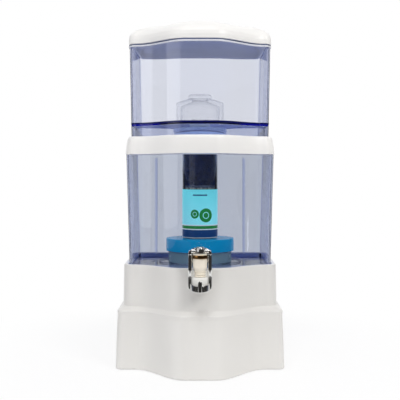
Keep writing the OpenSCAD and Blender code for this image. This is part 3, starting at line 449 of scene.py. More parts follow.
# %% Turning a profile
def around(r, a, z):
    """Points from radii, angles and heights: x = r cos a and y = r sin a."""
    return np.stack(np.broadcast_arrays(r * np.cos(a), r * np.sin(a), z), -1)


def turned(profile, cut=0.4, count=128, steps=4):
    """A round piece: the profile's radius and height, softened, at `count` angles."""
    rows = soften(profile, cut, steps)
    return around(rows[:, :1], np.linspace(0, 2 * np.pi, count, endpoint=False), rows[:, 1:])


print("a turned triangle's rows and angles:", turned([(0, 0), (1, 0), (0, 1)]).shape[:2])


# %% From a grid to closed faces
def shell(grid, ring=False):
    """Vertices and faces of a grid whose columns close on themselves. Its rows close too if it is a
    ring, and otherwise a pole in the middle of the first and the last row shuts it."""
    m, n = grid.shape[:2]
    points = grid.reshape(-1, 3)
    i, j = np.arange(m if ring else m - 1)[:, None], np.arange(n)[None, :]
    k, up = (j + 1) % n, (i + 1) % m
    faces = np.stack([i * n + j, i * n + k, up * n + k, up * n + j], -1).reshape(-1, 4)
    if ring:
        return points, faces, np.zeros((0, 3), int)
    points = np.vstack([points, grid[0].mean(0), grid[-1].mean(0)])
    j, k = j[0], k[0]
    first = np.stack([k, j, 0 * j + m * n], 1)
    last = np.stack([(m - 1) * n + j, (m - 1) * n + k, 0 * j + m * n + 1], 1)
    return points, faces, np.vstack([first, last])


def remade(part, x, y, z):
    """The same faces over points that have moved."""
    return np.stack([x, y, z], 1), part[1], part[2]


def outward(part):
    """The same faces, wound so that the closed shape's volume is positive and they point outwards."""
    points, quads, threes = part
    corners = np.vstack([quads[:, [0, 1, 2]], quads[:, [0, 2, 3]], threes])
    a, b, c = (points[corners[:, k]] for k in range(3))
    if (a * np.cross(b, c)).sum() < 0:
        return points, quads[:, ::-1], threes[:, ::-1]
    return part


# %% From faces to a piece
def placed(name, data):
    """A new object in the scene for this mesh, lamp or camera."""
    obj = bpy.data.objects.new(name, data)
    bpy.context.scene.collection.objects.link(obj)
    return obj


def piece(name, parts, body, finish, replaces=(), y=AXIS_Y, sharp=None):
    """One object from closed shells, in metres and in its place, riding on a body of the frame."""
    points, faces, count = [], [], 0
    for part in parts:
        p, quads, threes = outward(part)
        points.append(p)
        faces += (quads + count).tolist() + (threes + count).tolist()
        count += len(p)
    points = np.vstack(points) * MM + [0, y, 0]
    mesh = bpy.data.meshes.new(name)
    mesh.from_pydata(points.tolist(), [], faces)
    mesh.polygons.foreach_set("use_smooth", np.ones(len(faces), bool))
    if sharp is not None:
        mesh.set_sharp_from_angle(angle=math.radians(sharp))
    mesh.materials.append(finish.mat)
    mesh.update()
    obj = placed(name, mesh)
    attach(obj, body)
    if replaces:
        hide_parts(*replaces)
    print(name, len(faces), "faces")
    return obj


# %% [markdown]
# ## The stand
# Two tiers in one moulding: an upper tier that follows the lower tank, and a wider lower tier with flat
# corner faces and a deep bow. Between them a ledge slopes down to a tight lip, which dips in the middle of
# the front. The rows go from the underside of the deck down the inside, round the foot, up the outside
# and into the recess that takes the tank.

# %% Stand
TIER_GROW, LEDGE_GROW = 8.6, 9.8        # how far the upper tier stands out from the tank, above and below
STAND_WALL, LIP_DIP = 3, 4
STAND_H, LEDGE_H, DECK_Z = 161.0, 91.0, 152.0
inside = [
    row(DECK_Z - STAND_WALL, LOWER, TIER_GROW - STAND_WALL),
    row(LEDGE_H + 2, LOWER, LEDGE_GROW - STAND_WALL), row(LEDGE_H - STAND_WALL, LEDGE, -STAND_WALL, LIP_DIP),
    row(LEDGE_H * 0.34, between(FOOT, LEDGE, 0.36), -STAND_WALL), row(1, FOOT, -3.5)]
lower_tier = [
    row(1, FOOT, -1), row(3, FOOT), row(13, between(FOOT, LEDGE, 0.12), -0.4),
    row(LEDGE_H * 0.34, between(FOOT, LEDGE, 0.36)),
    row(LEDGE_H * 0.66, between(FOOT, LEDGE, 0.74), 0, LIP_DIP * 0.4),
    row(LEDGE_H - 7, between(FOOT, LEDGE, 0.97), -0.6, LIP_DIP * 0.9), row(LEDGE_H - 1.2, LEDGE, 0, LIP_DIP),
    row(LEDGE_H, LEDGE, -1, LIP_DIP)]
upper_tier = [
    row(LEDGE_H + 5.2, LOWER, LEDGE_GROW), row(STAND_H - 4, LOWER, TIER_GROW),
    row(STAND_H, LOWER, TIER_GROW - 0.4), row(STAND_H, LOWER, 2),
    row(DECK_Z, LOWER, 2), row(DECK_Z, LOWER, -8)]
stand_cuts = [2, 1, 1, 1, 0.8, 0.8, 4, 8, 8, 3, 1, 0.8, 1.5, 2, 1.8, 1.2, 1]
stand_grid = outline(soften(inside + lower_tier + upper_tier, stand_cuts, 7))
piece("stand_moulding", [shell(stand_grid)], "stand", stand_white, ["base_stand"])

# %% [markdown]
# ## The tanks
# Each tank is a wall of 3 mm with its floor and its foot. It is one closed skin, so the light meets a real
# thickness of plastic everywhere, which darkens the floor and the rims where they are seen edge-on. The
# lower tank has two ribs inside its back, over a step in its foot. Three thin bands run along the front and
# the sides of the upper tank: the bead of its rim, painted pale as its highlight, a dark band painted as the
# shadow in the gap under the lid, and the blue line of its floor.

# %% Lower tank
LOWER_TOP, LOWER_FLOOR, WALL, LOWER_LEAN = 332.5, 157.3, 3.0, 4.6
STEP_TOP, STEPPED, RIB_D = 163.3, LOWER - [0, 0, 8, 0, 0], 8


def lower_row(z, grow, rib=0.0, plan=LOWER):
    """The lower tank leans out by 4.6 mm a side over its height."""
    return row(z, plan, (z - DECK_Z) / (LOWER_TOP - DECK_Z) * LOWER_LEAN + grow, 0, rib)


lower_rows = [
    lower_row(DECK_Z + 2.3, -8), lower_row(DECK_Z, -8), lower_row(DECK_Z, 0), lower_row(LOWER_TOP, 0),
    lower_row(LOWER_TOP, -WALL), lower_row(LOWER_TOP - 5, -WALL), lower_row(LOWER_TOP - 6, -WALL, RIB_D),
    lower_row(STEP_TOP + 0.5, -WALL, RIB_D), lower_row(STEP_TOP, -WALL, 0, STEPPED),
    lower_row(LOWER_FLOOR, -WALL, 0, STEPPED), lower_row(LOWER_FLOOR, -WALL - 9, 0, STEPPED)]
lower_cuts = [0.5, 4, 1, 0.9, 0.5, 0.5, 0.3, 0.8, 2]
lower_grid = outline(soften(lower_rows, lower_cuts, 6))
print("lower tank's rings and points:", lower_grid.shape[:2])


# %% Discs, hoops and moves
def disc(radius, z_low, z_high, cut=0.4, count=64):
    """A round plate with a softened edge."""
    return shell(turned([(0.01, z_low), (radius, z_low), (radius, z_high), (0.01, z_high)], cut, count))


def hoop(inner, outer, z_low, z_high, cut=0.3, count=128):
    """A ring with a softened rectangle as its section."""
    section = [(inner, z_low), (outer, z_low), (outer, z_high), (inner, z_high), (inner, z_low), (outer, z_low)]
    return shell(turned(section, cut, count)[1:-1], ring=True)


def moved(part, x=0.0, y=0.0):
    """The piece moved sideways and back."""
    return part[0] + [x, y, 0], part[1], part[2]


def laid(part, height, way):
    """Lays a piece made upright along Y at a height, forward with way -1 and back with way 1: (x, y, z)
    goes to (x, way z, height - way y)."""
    x, y, z = part[0].T
    return remade(part, x, way * z, height - way * y)


TAP_Z, WALL_FRONT, TAP_PAD = 176.0, 132.1, (8.4, 15)        # pads face the wall in front and behind
on_floor = LOWER_FLOOR - 0.1, LOWER_FLOOR + 2
lower_parts = [shell(lower_grid), hoop(67, 69, *on_floor)]
lower_parts += [moved(disc(2, *on_floor), x) for x in (-RIB_X, RIB_X)]
lower_parts += [laid(hoop(*TAP_PAD, WALL_FRONT + start, WALL_FRONT + end), TAP_Z, -1)
                for start, end in ((-0.3, 1.6), (-4.6, -2.8))]
piece("lower_tank_clear", lower_parts, "lower", tank_lower, ["lower_tank"])

# %% Upper tank
UPPER_TOP, UPPER_FLOOR, COVER_DECK, UPPER_LEAN = 503.0, 380.0, 349.5, 2.6


def upper_row(z, grow):
    """The upper tank leans out by 2.6 mm a side over its height."""
    return row(z, UPPER, (z - COVER_DECK) / (UPPER_TOP - COVER_DECK) * UPPER_LEAN + grow)


upper_rows = [
    upper_row(UPPER_FLOOR - WALL, -5), upper_row(UPPER_FLOOR - WALL, -WALL), upper_row(COVER_DECK, -WALL),
    upper_row(COVER_DECK, 0), upper_row(UPPER_TOP, 0), upper_row(UPPER_TOP, -WALL),
    upper_row(UPPER_FLOOR, -WALL), upper_row(UPPER_FLOOR, -WALL - 4)]
upper_grid = outline(soften(upper_rows, [1, 0.6, 0.8, 1, 0.9, 2], 6))
piece("upper_tank_clear", [shell(upper_grid)], "upper", tank_upper, ["upper_tank"])

# %% Bands of the upper tank
AROUND_FRONT = np.arange(-66, 67)        # the outline's points from one back corner to the other


def front_band(z_low, z_high, out):
    """A band that stands out from the front and the sides of the tank, closed at both ends."""
    rows = [upper_row(z_low, 0.05), upper_row(z_low + 0.2, out), upper_row(z_high - 0.2, out + 0.2),
            upper_row(z_high, 0.05)]
    return shell(outline(soften(rows, 0.4, 4))[:, AROUND_FRONT].transpose(1, 0, 2))


# The bead's pale finish is a painted highlight, and the dark edge above it a painted shadow of the gap under
# the lid.
piece("upper_rim_bead_painted_highlight", [front_band(498.4, 501.2, 1.3)], "upper", painted_rim_highlight)
piece("upper_rim_painted_gap_shadow", [front_band(501.5, 502.9, 0.8)], "upper", painted_gap_shadow)
piece("upper_floor_edge", [front_band(UPPER_FLOOR - 1.2, UPPER_FLOOR + 1.8, 0.25)], "upper", deep_blue)

# %% [markdown]
# ## Cover and lid
# The white cover sits on the lower tank and takes the upper tank's foot. It has a round opening for the
# cartridge, so its rows close on themselves: the last ring meets the first. The lid is a shallow dome
# whose height follows (1 - (1 - s)^2)^0.5 on its way from the side to the crown.

# %% Middle cover
COVER_TOP, COVER_H, COVER_BORE = 360.5, 28.0, 52.0
LOW_LAP, HIGH_LAP = 5.7, 3.6


def cover_row(z, grow):
    """Between the lower tank's rim and the upper tank's foot, the cover blends one plan into the other."""
    t = (z - LOWER_TOP) / COVER_H
    return row(z, between(LOWER, UPPER, t), between(LOW_LAP, HIGH_LAP, t) + grow)


def bored(grid, radius, z):
    """A circle with as many points as a ring of the grid, each in the direction of the ring's own point."""
    return around(radius, np.arctan2(grid[0, :, 1], grid[0, :, 0]), z)[None]


cover_rows = [
    row(COVER_DECK, UPPER, -6), row(COVER_DECK, UPPER, 0.6), row(COVER_TOP, UPPER, 0.6),
    cover_row(COVER_TOP, 0.2), cover_row(COVER_TOP - 4, 1.5), cover_row(LOWER_TOP + 15, 1.6),
    cover_row(LOWER_TOP, 0), row(LOWER_TOP, LOWER, 1.2), row(LOWER_TOP - 1.5, LOWER, 1.1),
    row(LOWER_TOP - 1.5, LOWER, -1.8), row(COVER_DECK - 3, LOWER, -2.3), row(COVER_DECK - 3, LOWER, -8)]
cover_grid = outline(soften(cover_rows, [0.5, 0.7, 2.4, 2, 4, 0.8, 0.5, 0.5, 0.5, 0.8], 6))
cover_grid = np.concatenate([bored(cover_grid, COVER_BORE, COVER_DECK), cover_grid,
                             bored(cover_grid, COVER_BORE, COVER_DECK - 3)])
piece("middle_cover_moulding", [shell(cover_grid, ring=True)], "cover", lid_white, ["middle_cover"], sharp=40)

# %% Lid
LID_TOP, LID_SIDE, CROWN_RISE, CROWN_W, LID_WALL = 543.0, 511.0, 3.6, 66.0, 2.5
LID = UPPER + [3.4, 3.4, 3.4, 0, 0]
LID_CROWN = LID * [0.45, 0.35, 0.35, 0.3, 0]
TO_CROWN = np.array([0.012, 0.03, 0.055, 0.09, 0.13, 0.18, 0.24, 0.32, 0.42, 0.54, 0.68, 0.84, 1.0])


def dome(inset, shares):
    """Rows over the dome: share s of the way to the crown is (1 - (1 - s)^2)^0.5 of the way up."""
    heights = (1 - (1 - shares) ** 2) ** 0.5 * (LID_TOP - CROWN_RISE - LID_SIDE) + LID_SIDE - inset
    return [row(z, between(LID, LID_CROWN, s), -inset) for s, z in zip(shares, heights)]


skirt = [
    row(UPPER_TOP + 2.5, LID, -LID_WALL), row(UPPER_TOP + 2.5, UPPER, -3.4),
    row(UPPER_TOP - 1.2, UPPER, -3.2), row(UPPER_TOP - 1.2, UPPER, -1.2), row(UPPER_TOP, UPPER, -1),
    row(UPPER_TOP, LID, -0.4), row(UPPER_TOP + 1, LID, 0), row(LID_SIDE - 1, LID, 0)]
lid_rows = dome(LID_WALL, TO_CROWN[::-1]) + skirt + dome(0, TO_CROWN)
lid_grid = outline(soften(lid_rows, 0.6, 4))
rise = np.clip((lid_grid[..., 2] - LID_SIDE) / (LID_TOP - LID_SIDE), 0, 1)
lid_grid[..., 2] += CROWN_RISE * rise * np.exp(-(lid_grid[..., 0] / CROWN_W) ** 2)
piece("lid_moulding", [shell(lid_grid)], "lid", lid_white, ["lid"])
print("lid top at", round(float(lid_grid[..., 2].max()), 2), "mm")

# %% [markdown]
# ## Cartridge, pre-filter and mineral case
# These are turned shapes. The cartridge hangs under the upper floor from its flange, with the carbon bed
# on top behind a clear shell. The pre-filter has fine grip ribs on its flanks and is cut flat and plain in
# front and behind.

# %% Cartridge
cap = turned([(0.01, 337), (17, 337), (17, 370.5), (43, 370.5), (44, 372), (44, 375.5), (10.6, 375.5),
              (10.6, 391), (7.1, 391), (7.1, 378), (0.01, 378)], 0.6)
piece("cartridge_cap_turned", [shell(cap)], "cartridge", cap_navy, ["cartridge_cap"])
clear_wall = turned([(27.5, 200.2), (29.5, 200.2), (29.5, 330), (29.3, 334.6), (26.5, 337), (0.01, 337),
                     (0.01, 334.1), (25.6, 334.1), (27.3, 332.2), (27.5, 328)], 0.9)
piece("cartridge_shell_clear", [shell(clear_wall, ring=True)], "cartridge", shell_clear, ["cartridge_shell"])
bed = turned([(0.01, 282.1), (27.4, 282.1), (27.4, 329), (26.4, 333), (24, 334), (0.01, 334)], 0.8)
piece("carbon_fill", [shell(bed)], "cartridge", carbon, ["carbon_bed"])

# %% Print on the sleeve
SLEEVE_R, EDGE = 0.0299, 0.0002
SKY, PALE, GREEN = (0.21, 0.97, 0.99, 1), (0.36, 0.97, 0.99, 1), (0.006, 0.24, 0.035, 1)
NAVY, MILK = (0.004, 0.045, 0.16, 1), (0.82, 0.88, 0.88, 1)
DISCS = (-0.30, 0.2360, 0.0072), (0.34, 0.2340, 0.0112)            # turn, height and radius
BANDS = (0.2185, MILK), (0.2170, GREEN), (0.2120, MILK), (0.2105, NAVY)      # top and colour
BEAD, BEADS_Z, BEADS_HALF = 0.002, 0.2665, 0.0124


def sleeve(name, slot):
    """A plain printed design: a pale blue field that fades downwards, two green discs with a pale ring in
    each, a beaded navy line above them, and white, green and navy bands below. The angle times the
    radius gives the way along the print. Each mask is a step on a height or on a distance. The print also
    glows at 0.22 of its own colour, which is painted light."""
    f = Finish(name, slot)
    x, y, z = f.axes(shift=(0, -AXIS_Y, 0))
    along = x.math("ARCTAN2", x, y * -1.0) * SLEEVE_R
    tone = f.blend(z.step(0.2, 0.275), PALE, SKY)
    for turn, up, radius in DISCS:
        across, rise = along - turn * SLEEVE_R, z - up
        away = (across * across + rise * rise) ** 0.5
        tone = f.blend(away.step(radius + EDGE, radius - EDGE), tone, GREEN)
        ring = away.step(radius * 0.52, radius * 0.47) * away.step(radius * 0.36, radius * 0.41)
        tone = f.blend(ring, tone, PALE)
    for top, colour in BANDS:
        tone = f.blend(z.step(top + EDGE, top - EDGE), tone, colour)
    across, rise = along.math("PINGPONG", along + BEAD, BEAD) - BEAD / 2, z - BEADS_Z
    away = (across * across + rise * rise) ** 0.5
    beads = away.step(0.0013, 0.001) * along.size().step(BEADS_HALF + 0.0001, BEADS_HALF - 0.0001)
    tone = f.blend(beads, tone, NAVY)
    # The print glows by itself at 0.22 of its colour: painted light that brightens it inside the tank.
    shader = f.node("ShaderNodeBsdfPrincipled", inputs={
        "Base Color": tone, "Roughness": 0.3 + f.noise(60, 3) * 0.1,
        "Normal": f.bump(f.noise(500, 2), 0.2, 0.0001), "Emission Color": tone, "Emission Strength": 0.22})
    return f.coat(shader)


# %% Sleeve
print_wall = turned([(29.55, 198.6), (29.85, 198.6), (29.85, 275.6), (29.55, 275.6)], 0.05, 160)[1:-1]
piece("sleeve_turned", [shell(print_wall, ring=True)], "cartridge", sleeve("printed_sleeve", "sleeve_print"),
      ["cartridge_label"])

# %% Pre-filter dome and cap
DOME_R, GRIPS, GRIP_D, PANEL_Y = 38, 60, 0.35, 32.7
PANEL_TURN, BACK_TURN, FADE = 0.56, 2.6, 0.03        # the grip lies between these turns from the front
dome_grid = turned([(32, 387), (DOME_R, 387), (DOME_R, 419.5), (19.4, 426.2), (13.4, 426.2), (13.4, 421.5),
                    (32, 414), (32, 388)], 0.7, 480)
angles = np.arctan2(dome_grid[..., 1], dome_grid[..., 0])
from_front = np.abs(np.mod(angles + np.pi / 2 + np.pi, 2 * np.pi) - np.pi)
flank = np.clip((from_front - PANEL_TURN) / FADE, 0, 1) * np.clip((BACK_TURN - from_front) / FADE, 0, 1)
outside = np.hypot(dome_grid[..., 0], dome_grid[..., 1]) > 33
grip = GRIP_D * (1 + np.sign(np.sin(GRIPS * angles))) * flank * outside
dome_grid[..., :2] *= (1 + grip / DOME_R)[..., None]
dome_grid[..., 1] = np.where(outside, np.clip(dome_grid[..., 1], -PANEL_Y, PANEL_Y), dome_grid[..., 1])
piece("prefilter_dome_turned", [shell(dome_grid, ring=True)], "prefilter", frosted_clear, ["prefilter_dome"],
      sharp=35)
cap = turned([(0.01, 422.5), (13.3, 422.5), (13.3, 426.2), (19.4, 426.2), (19.4, 431), (17.6, 432.8),
              (0.01, 432.8)], [0.4, 0.2, 0.4, 2, 2])
piece("prefilter_cap_turned", [shell(cap)], "prefilter", frosted_clear, ["prefilter_cap"])

# %% Mineral case
CASE_FIT = 0.955        # the lid's share of its profile's width
lid = turned([(0.01, 192.8), (56.1, 192.8), (56.1, 175.6), (58.7, 175.6), (58.7, 195.8), (0.01, 195.8)],
             [0.3, 0.5, 0.5, 1.8], 192) * [CASE_FIT, CASE_FIT, 1]
piece("case_lid_turned", [shell(lid)], "case_lid", case_blue, ["case_lid"])
pan = turned([(0.01, 157.3), (52, 157.3), (52, 173.4), (55.8, 175.8), (55.8, 192.6), (53.6, 192.6),
              (53.6, 178), (49.8, 175.5), (49.8, 159.5), (0.01, 159.5)], 0.8, 192)
piece("case_body_turned", [shell(pan)], "lower", case_smoke, ["case_body"])

# %% [markdown]
# ## The tap
# An ivory valve body with a ridged neck and a threaded shank, a white outlet bell with a half-round back
# behind the neck, a bronze ring and a chrome bonnet, all turned. Fine flutes on the valve body and the
# thread are waves added to the radius.

# %% Valve body and shank
VALVE_R, FLUTES, FLUTE_D, FLUTE_Z, FLUTE_HALF = 10.4, 36, 0.14, 171, 6.5
VALVE = [
    (0.01, 156), (3.2, 156), (3.2, 143.5), (7.2, 143.5), (7.2, 151), (8.6, 151.4), (8.6, 152.4), (7, 152.9),
    (7, 154.3), (8.6, 154.8), (8.6, 155.8), (7, 156.3), (7, 157.7), (8.4, 158.2), (8.4, 159.1), (7.4, 159.6),
    (8.6, 161.3), (9.9, 163.8), (VALVE_R, 165), (VALVE_R, 177), (VALVE_R, 184.5), (0.01, 184.5)]
valve_grid = turned(VALVE, 0.45, 288)
x, y, z = np.moveaxis(valve_grid, -1, 0)
fluted = (np.abs(z - FLUTE_Z) < FLUTE_HALF) * (np.hypot(x, y) > 10)
flutes = FLUTE_D * (np.cos(FLUTES * np.arctan2(y, x)) - 1) * fluted
valve_grid[..., :2] *= (1 + flutes / VALVE_R)[..., None]

SHANK_R, SHANK_L, THREAD_D, PITCH, THREAD_START = 8.2, 40.0, 0.35, 1.75, 22
way = np.arange(0.0, SHANK_L, 0.25)
thread = SHANK_R - THREAD_D * (0.5 + 0.5 * np.cos(2 * np.pi * way / PITCH)) * (way > THREAD_START)
SHANK = [(0.01, 0.0), *zip(thread, way), (3.2, SHANK_L), (3.2, SHANK_L - 4), (0.01, SHANK_L - 4)]
shank = shell(turned(SHANK, 0.1, 64, 2))
flange = shell(turned([(8.1, 15.5), (12.5, 15.5), (12.5, 18.5), (8.1, 18.5)], 0.6, 96)[1:-1], ring=True)
piece("tap_valve_body", [shell(valve_grid), laid(shank, TAP_Z, 1), laid(flange, TAP_Z, 1)], "lower",
      tap_ivory, ["tap_body"], y=TAP_Y)

# %% Bell, ring and bonnet
section = soften([(2.5, 148), (11.5, 148), (11.5, 160.5), (2.5, 160.5), (2.5, 148), (11.5, 148)], 0.4, 4)[1:-1]
half_turn = np.linspace(-0.05, np.pi + 0.05, 60)[:, None]
bell_back = around(section[:, 0], half_turn, section[:, 1])
bell = turned([(7.25, 150.8), (9.2, 150.8), (10.9, 150), (11.6, 148.4), (11.6, 137.3), (10, 137.3),
               (10, 148.2), (7.25, 148.2)], 0.6)
piece("outlet_bell", [shell(bell, ring=True), shell(bell_back)], "lower", tap_white, ["spout_bell"], y=TAP_Y)
piece("bronze_hoop", [hoop(10.45, 11.6, 178.1, 183.4, 0.45)], "lower", bronze, ["tap_ring"], y=TAP_Y)
barrel = turned([(0.01, 178.6), (5.1, 178.6), (5.1, 184.5), (6.3, 184.5), (6.3, 192.2), (0.01, 192.2)], 0.3, 96)
piece("bonnet_barrel", [shell(barrel)], "lower", chrome, ["tap_bonnet"], y=TAP_Y)
button = turned([(0.01, 192.25), (6.3, 192.25), (6.3, 193.4), (5.6, 194.6), (3, 195.25), (0.01, 195.3)],
                0.5, 96)
piece("bonnet_button", [shell(button)], "lower", chrome, ["bonnet_cap"], y=TAP_Y)

# %% [markdown]
# ## The lever
# The lever is a stirrup: two bars hang from a pin at the bonnet, step back a little on their way down, and
# meet in a half-round bow that is pinched at the sides and dips in front of the outlet. Pushing a glass
# against it lifts the valve. A flat bar can be described by its outline seen from the front and its
# depth. Each outline is carried through the depth with softened edges: it shrinks towards both faces along
# a quarter circle, which is what a cast and polished edge looks like.

# %% A plate with softened edges
def slab(points, depth, edge=0.7, steps=4):
    """A plate from its outline in x and z: through the depth, the outline moves in along its own normals
    by edge (1 - cos a) while it goes back by edge (1 - sin a) at both faces."""
    p = np.asarray(points, float)
    ahead, back = np.roll(p, -1, 0) - p, p - np.roll(p, 1, 0)
    n1 = np.stack([ahead[:, 1], -ahead[:, 0]], 1) / np.hypot(*ahead.T)[:, None]
    n2 = np.stack([back[:, 1], -back[:, 0]], 1) / np.hypot(*back.T)[:, None]
    normal = (n1 + n2) / (1 + (n1 * n2).sum(1))[:, None]
    a = np.linspace(0, np.pi / 2, steps)
    rim = [edge * 1.4]        # one more ring inside each face
    inward = np.concatenate([rim, edge * (1 - np.sin(a)), edge * (1 - np.sin(a[::-1])), rim])
    y = np.concatenate([-depth / 2 + edge * (1 - np.cos(a)), depth / 2 - edge * (1 - np.cos(a[::-1]))])
    y = np.concatenate([y[:1], y, y[-1:]])
    ring = p[None] - normal[None] * inward[:, None, None]
    return shell(np.stack([ring[..., 0], y[:, None] + 0 * ring[..., 0], ring[..., 1]], -1))


# %% Bars and roof
PIN_Z, BOW_Z, BAR_IN, BAR_OUT, BAR_END = 188.7, 130.1, 12.0, 17.2, 134.2
CRANK_TOP, CRANK_LOW, CRANK = 161, 150.8, 1.8


def cranked(part):
    """Cranks a bar: between two heights it steps back in a straight slope."""
    x, y, z = part[0].T
    return remade(part, x, y + CRANK * np.clip((CRANK_TOP - z) / (CRANK_TOP - CRANK_LOW), 0, 1), z)


def on_side(part, side):
    """The piece as it is with side 1, and mirrored in x with side -1."""
    x, y, z = part[0].T
    return remade(part, side * x, y, z)


heights = np.array([137, 141, 145, 149, 150.6, 151.2, 153, 157, 160.4, 161, 163, 168, 173, 178, 181, 184])
middle, half_bar, bend = (BAR_IN + BAR_OUT) / 2, (BAR_OUT - BAR_IN) / 2, np.linspace(-1.3, 1.3, 9)
bar = np.vstack([
    np.stack([0 * heights + BAR_IN, heights[::-1]], 1),
    np.stack([middle + half_bar * np.sin(bend), BAR_END - 2.2 * np.cos(bend)], 1),
    np.stack([0 * heights + BAR_OUT, heights], 1)])
roof = [(6.7, 185.6), (11.9, 185.6), (12.6, 184.9), (12.9, 183.4), (16.6, 183.4), (17.2, 184.4),
        (17.2, 187.4), (16.4, 188.6), (9.3, 193.2), (8.2, 193.5), (6.7, 193.5)]
lever_parts = [on_side(part, side) for side in (1, -1)
               for part in (cranked(slab(bar, 7.0, 0.9)), slab(roof, 5.4, 0.7))]
print("lever bars and roofs:", len(lever_parts))


# %% Bow, rib and pins
def half_hoop(radius, pinch, thick, z_low, z_high, dip, edge=0.5, count=72):
    """The bow: a softened rectangle carried along half an ellipse, x = (r - pinch) sin a and y = -r cos a,
    which dips in front: z moves by -dip cos a."""
    w, h = thick / 2, (z_high - z_low) / 2
    turn = np.linspace(0, np.pi / 2, 6)
    corner = np.stack([w - edge + edge * np.cos(turn), h - edge + edge * np.sin(turn)], 1)
    corner = np.vstack([[w, (h - edge) * 0.93], corner, [(w - edge) * 0.8, h]])
    half = np.vstack([corner, corner[::-1] * [-1, 1]])
    across, up = np.vstack([half, half[::-1] * [1, -1]]).T
    a = np.linspace(-np.pi / 2, np.pi / 2, count)[:, None]
    r = radius + across[None]
    z = (z_low + z_high) / 2 + up[None] - dip * np.cos(a)
    return shell(np.stack([(r - pinch) * np.sin(a), -r * np.cos(a), z], -1))


def crosswise(part, side):
    """Lays a piece made upright along X at the height of the pin: (x, y, z) goes to (side z, y, x + pin)."""
    x, y, z = part[0].T
    return remade(part, side * z, y, x + PIN_Z)


bow = half_hoop(15.7, 2.1, 3.0, BOW_Z + 3, BOW_Z + 12.4, 3.0)
rib_outline = [(-2.9, BOW_Z), (2.9, BOW_Z), (2.9, 144.1), (2.5, 145.2), (1.4, 146.3), (0, 147.1),
               (-1.4, 146.3), (-2.5, 145.2), (-2.9, 144.1)]
rib = moved(slab(rib_outline, 3.9, 0.6), y=-16.35)
lever_parts += [bow, rib] + [crosswise(disc(3.5, 6.7, 12.8, 0.5), side) for side in (1, -1)]
piece("stirrup_lever", lever_parts, "lever", chrome, ["tap_lever"], y=TAP_Y, sharp=50)

# %% [markdown]
# ## The spring that closes the tap
# The spring stands on the collar of the valve stem and pushes against the packing above it. When the
# lever lifts the stem, the spring gets shorter towards its upper end, which stays where it is.

# %% Closing spring
def coil(radius, wire, z_low, z_high, turns):
    """A round wire along a helix: the distance from the axis is r + w cos b at the angle a, and the height
    rises evenly with a, plus w sin b."""
    a = np.linspace(0, 2 * np.pi * turns, turns * 40 + 1)[:, None]
    b = np.linspace(0, 2 * np.pi, 14, endpoint=False)[None]
    rising = z_low + wire + (z_high - z_low - 2 * wire) * a / a[-1]
    return shell(around(radius + wire * np.cos(b), a, rising + wire * np.sin(b)))


spring = piece("closing_spring", [coil(3.3, 0.4, 166.05, 176.45, 5)], "lower", steel, ["valve_spring"], y=TAP_Y)
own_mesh(spring)

# %% [markdown]
# ## Finishes for the parts that stay as they are
# Feet, seals, washers and the inner workings already have their true shape in the frame. They only need
# a finish in place of the plain colour that they were packed with.

# %% Dress the frame's own parts
dressed = {
    "rubber_feet": black_rubber, "outer_washer": black_rubber, "inner_washer": black_rubber,
    "valve_seal": black_rubber, "stem_packing": black_rubber, "cartridge_seal": seal_rubber,
    "prefilter_gasket": seal_rubber, "prefilter_plate": frosted_clear, "lock_nut": tap_white,
    "cartridge_end": inner_plastic, "valve_stem": inner_plastic, "lever_pin": steel,
    "zeolite_bed": zeolite, "sand_bed": sand, "ceramic_bed": balls, "media_pads": felt,
    "mineral_stones": pebbles}
for name, finish in dressed.items():
    for material_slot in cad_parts[name].material_slots:
        material_slot.material = finish.mat
print("dressed", len(dressed), "parts of the frame")

# %% [markdown]
# ## Floor, room and light
# A pale floor catches the shadow near the object and turns into plain white further away. The room is
# white to the eye and through clear plastic. Only mirrored rays find it dark in front and at the sides
# and white behind, because gloss and chrome need something dark to draw their edges with. The lamps are
# three soft boxes: a key from the front right, a wide fill from the left, and a strong box high in front.

# %% Floor
PLAIN_WHITE, FLOOR_GREY = (1, 1, 1, 1), (0.93, 0.93, 0.93, 1)
FLOOR_CORNERS = [(-0.45, -0.5, 0), (0.45, -0.5, 0), (3, 6, 0), (-3, 6, 0)]


def floor_finish():
    """A matt floor that also shines white by itself where it is seen directly, in gloss or through clear
    plastic: by 0.8 near the object, and by 1 from half a metre on."""
    f = Finish("studio_floor")
    x, y, z = f.axes()
    away = (x * x + y * y) ** 0.5
    direct, glossy, through = f.outputs("ShaderNodeLightPath", [
        "Is Camera Ray", "Is Glossy Ray", "Is Transmission Ray"])
    matt = f.node("ShaderNodeBsdfDiffuse", inputs=[FLOOR_GREY])
    white = f.node("ShaderNodeEmission", inputs=[PLAIN_WHITE, 1.0])
    share = (away.step(0.2, 0.5) * 0.2 + 0.8) * (direct + glossy + through)
    return f.coat(f.node("ShaderNodeMixShader", inputs=[share, matt, white]))


mesh = bpy.data.meshes.new("floor")
mesh.from_pydata(FLOOR_CORNERS, [], [(0, 1, 2, 3)])
mesh.materials.append(floor_finish().mat)
placed("floor", mesh)
print("floor reaches back to", FLOOR_CORNERS[2][1], "m")

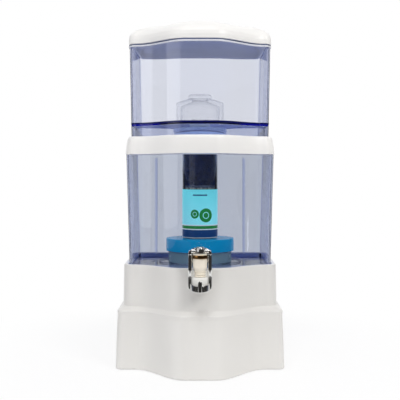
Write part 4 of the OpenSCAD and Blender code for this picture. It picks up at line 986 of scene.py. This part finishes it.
# %% Room
FRONT_DARK, SIDE_DARK = (0.033, 0.031, 0.03, 1), (0.10, 0.11, 0.15, 1)
FRONT_GLOW, BACK_GLOW = (0.30, 0.30, 0.31, 1), (0.88, 0.88, 0.9, 1)
world = bpy.data.worlds.new("studio")
bpy.context.scene.world = world
room = Graph(world, "ShaderNodeOutputWorld")
direct, through, glossy, scattered, mirrored = room.outputs("ShaderNodeLightPath", [
    "Is Camera Ray", "Is Transmission Ray", "Is Glossy Ray", "Diffuse Depth", "Glossy Depth"])
back = room.node("ShaderNodeSeparateXYZ", inputs=[room.node("ShaderNodeTexCoord", out=0)], out="Y")
sides = room.blend(back.step(-0.1, 0.3), FRONT_DARK, SIDE_DARK)
in_gloss = room.blend(back.step(0.5, 0.9), sides, PLAIN_WHITE)
tone = room.blend(mirrored.step(0.0, 1.0), PLAIN_WHITE, in_gloss)
tone = room.blend(direct, tone, PLAIN_WHITE)
backdrop = room.node("ShaderNodeBackground", inputs=[tone, 1.0])
glow = room.blend(back.step(-0.5, 0.7), FRONT_GLOW, BACK_GLOW)
ambient = room.node("ShaderNodeBackground", inputs=[glow, 1.0])
seen = (direct + through + glossy) * scattered.step(1.0, 0.0)
room.coat(room.node("ShaderNodeMixShader", inputs=[seen, ambient, backdrop]))
print("room of", len(room.tree.nodes), "nodes")

# %% Lamps
AIM = (0, 0, 0.25)


def lamp(name, where, width, watts, colour):
    """A square soft box at a place in metres, turned towards the object."""
    data = bpy.data.lights.new(name, "AREA")
    data.shape, data.size, data.size_y = "RECTANGLE", width, width
    data.energy, data.color = watts, colour
    obj = placed(name, data)
    obj.location = where
    obj.rotation_mode = "QUATERNION"
    obj.rotation_quaternion = (Vector(AIM) - Vector(where)).to_track_quat("-Z", "Y")
    print(name, watts, "W")


lamp("key_box", (1.2, -1.5, 1.5), 0.8, 19, (1, 0.985, 0.96))
lamp("fill_box", (-1.7, -1.2, 0.8), 1.8, 10, (0.98, 0.98, 1))
lamp("top_box", (-0.2, -1.5, 2.8), 1.4, 27, (1, 1, 1))

# %% Camera
AWAY, EYE, TILT = 1.12, 0.295, 1.866        # metres in front of the axis, metres up, degrees down
camera = bpy.data.cameras.new("camera")
camera.lens, camera.sensor_width = 59.4, 36.0
camera.clip_start, camera.clip_end = 0.05, 50
view = placed("camera", camera)
view.location = (0, AXIS_Y - AWAY, EYE)
view.rotation_euler = (math.radians(90 - TILT), 0, 0)
bpy.context.scene.camera = view
bpy.context.scene.view_settings.view_transform = "Standard"
print("camera", AWAY, "m in front of the tanks' axis, tilted", TILT, "degrees down")
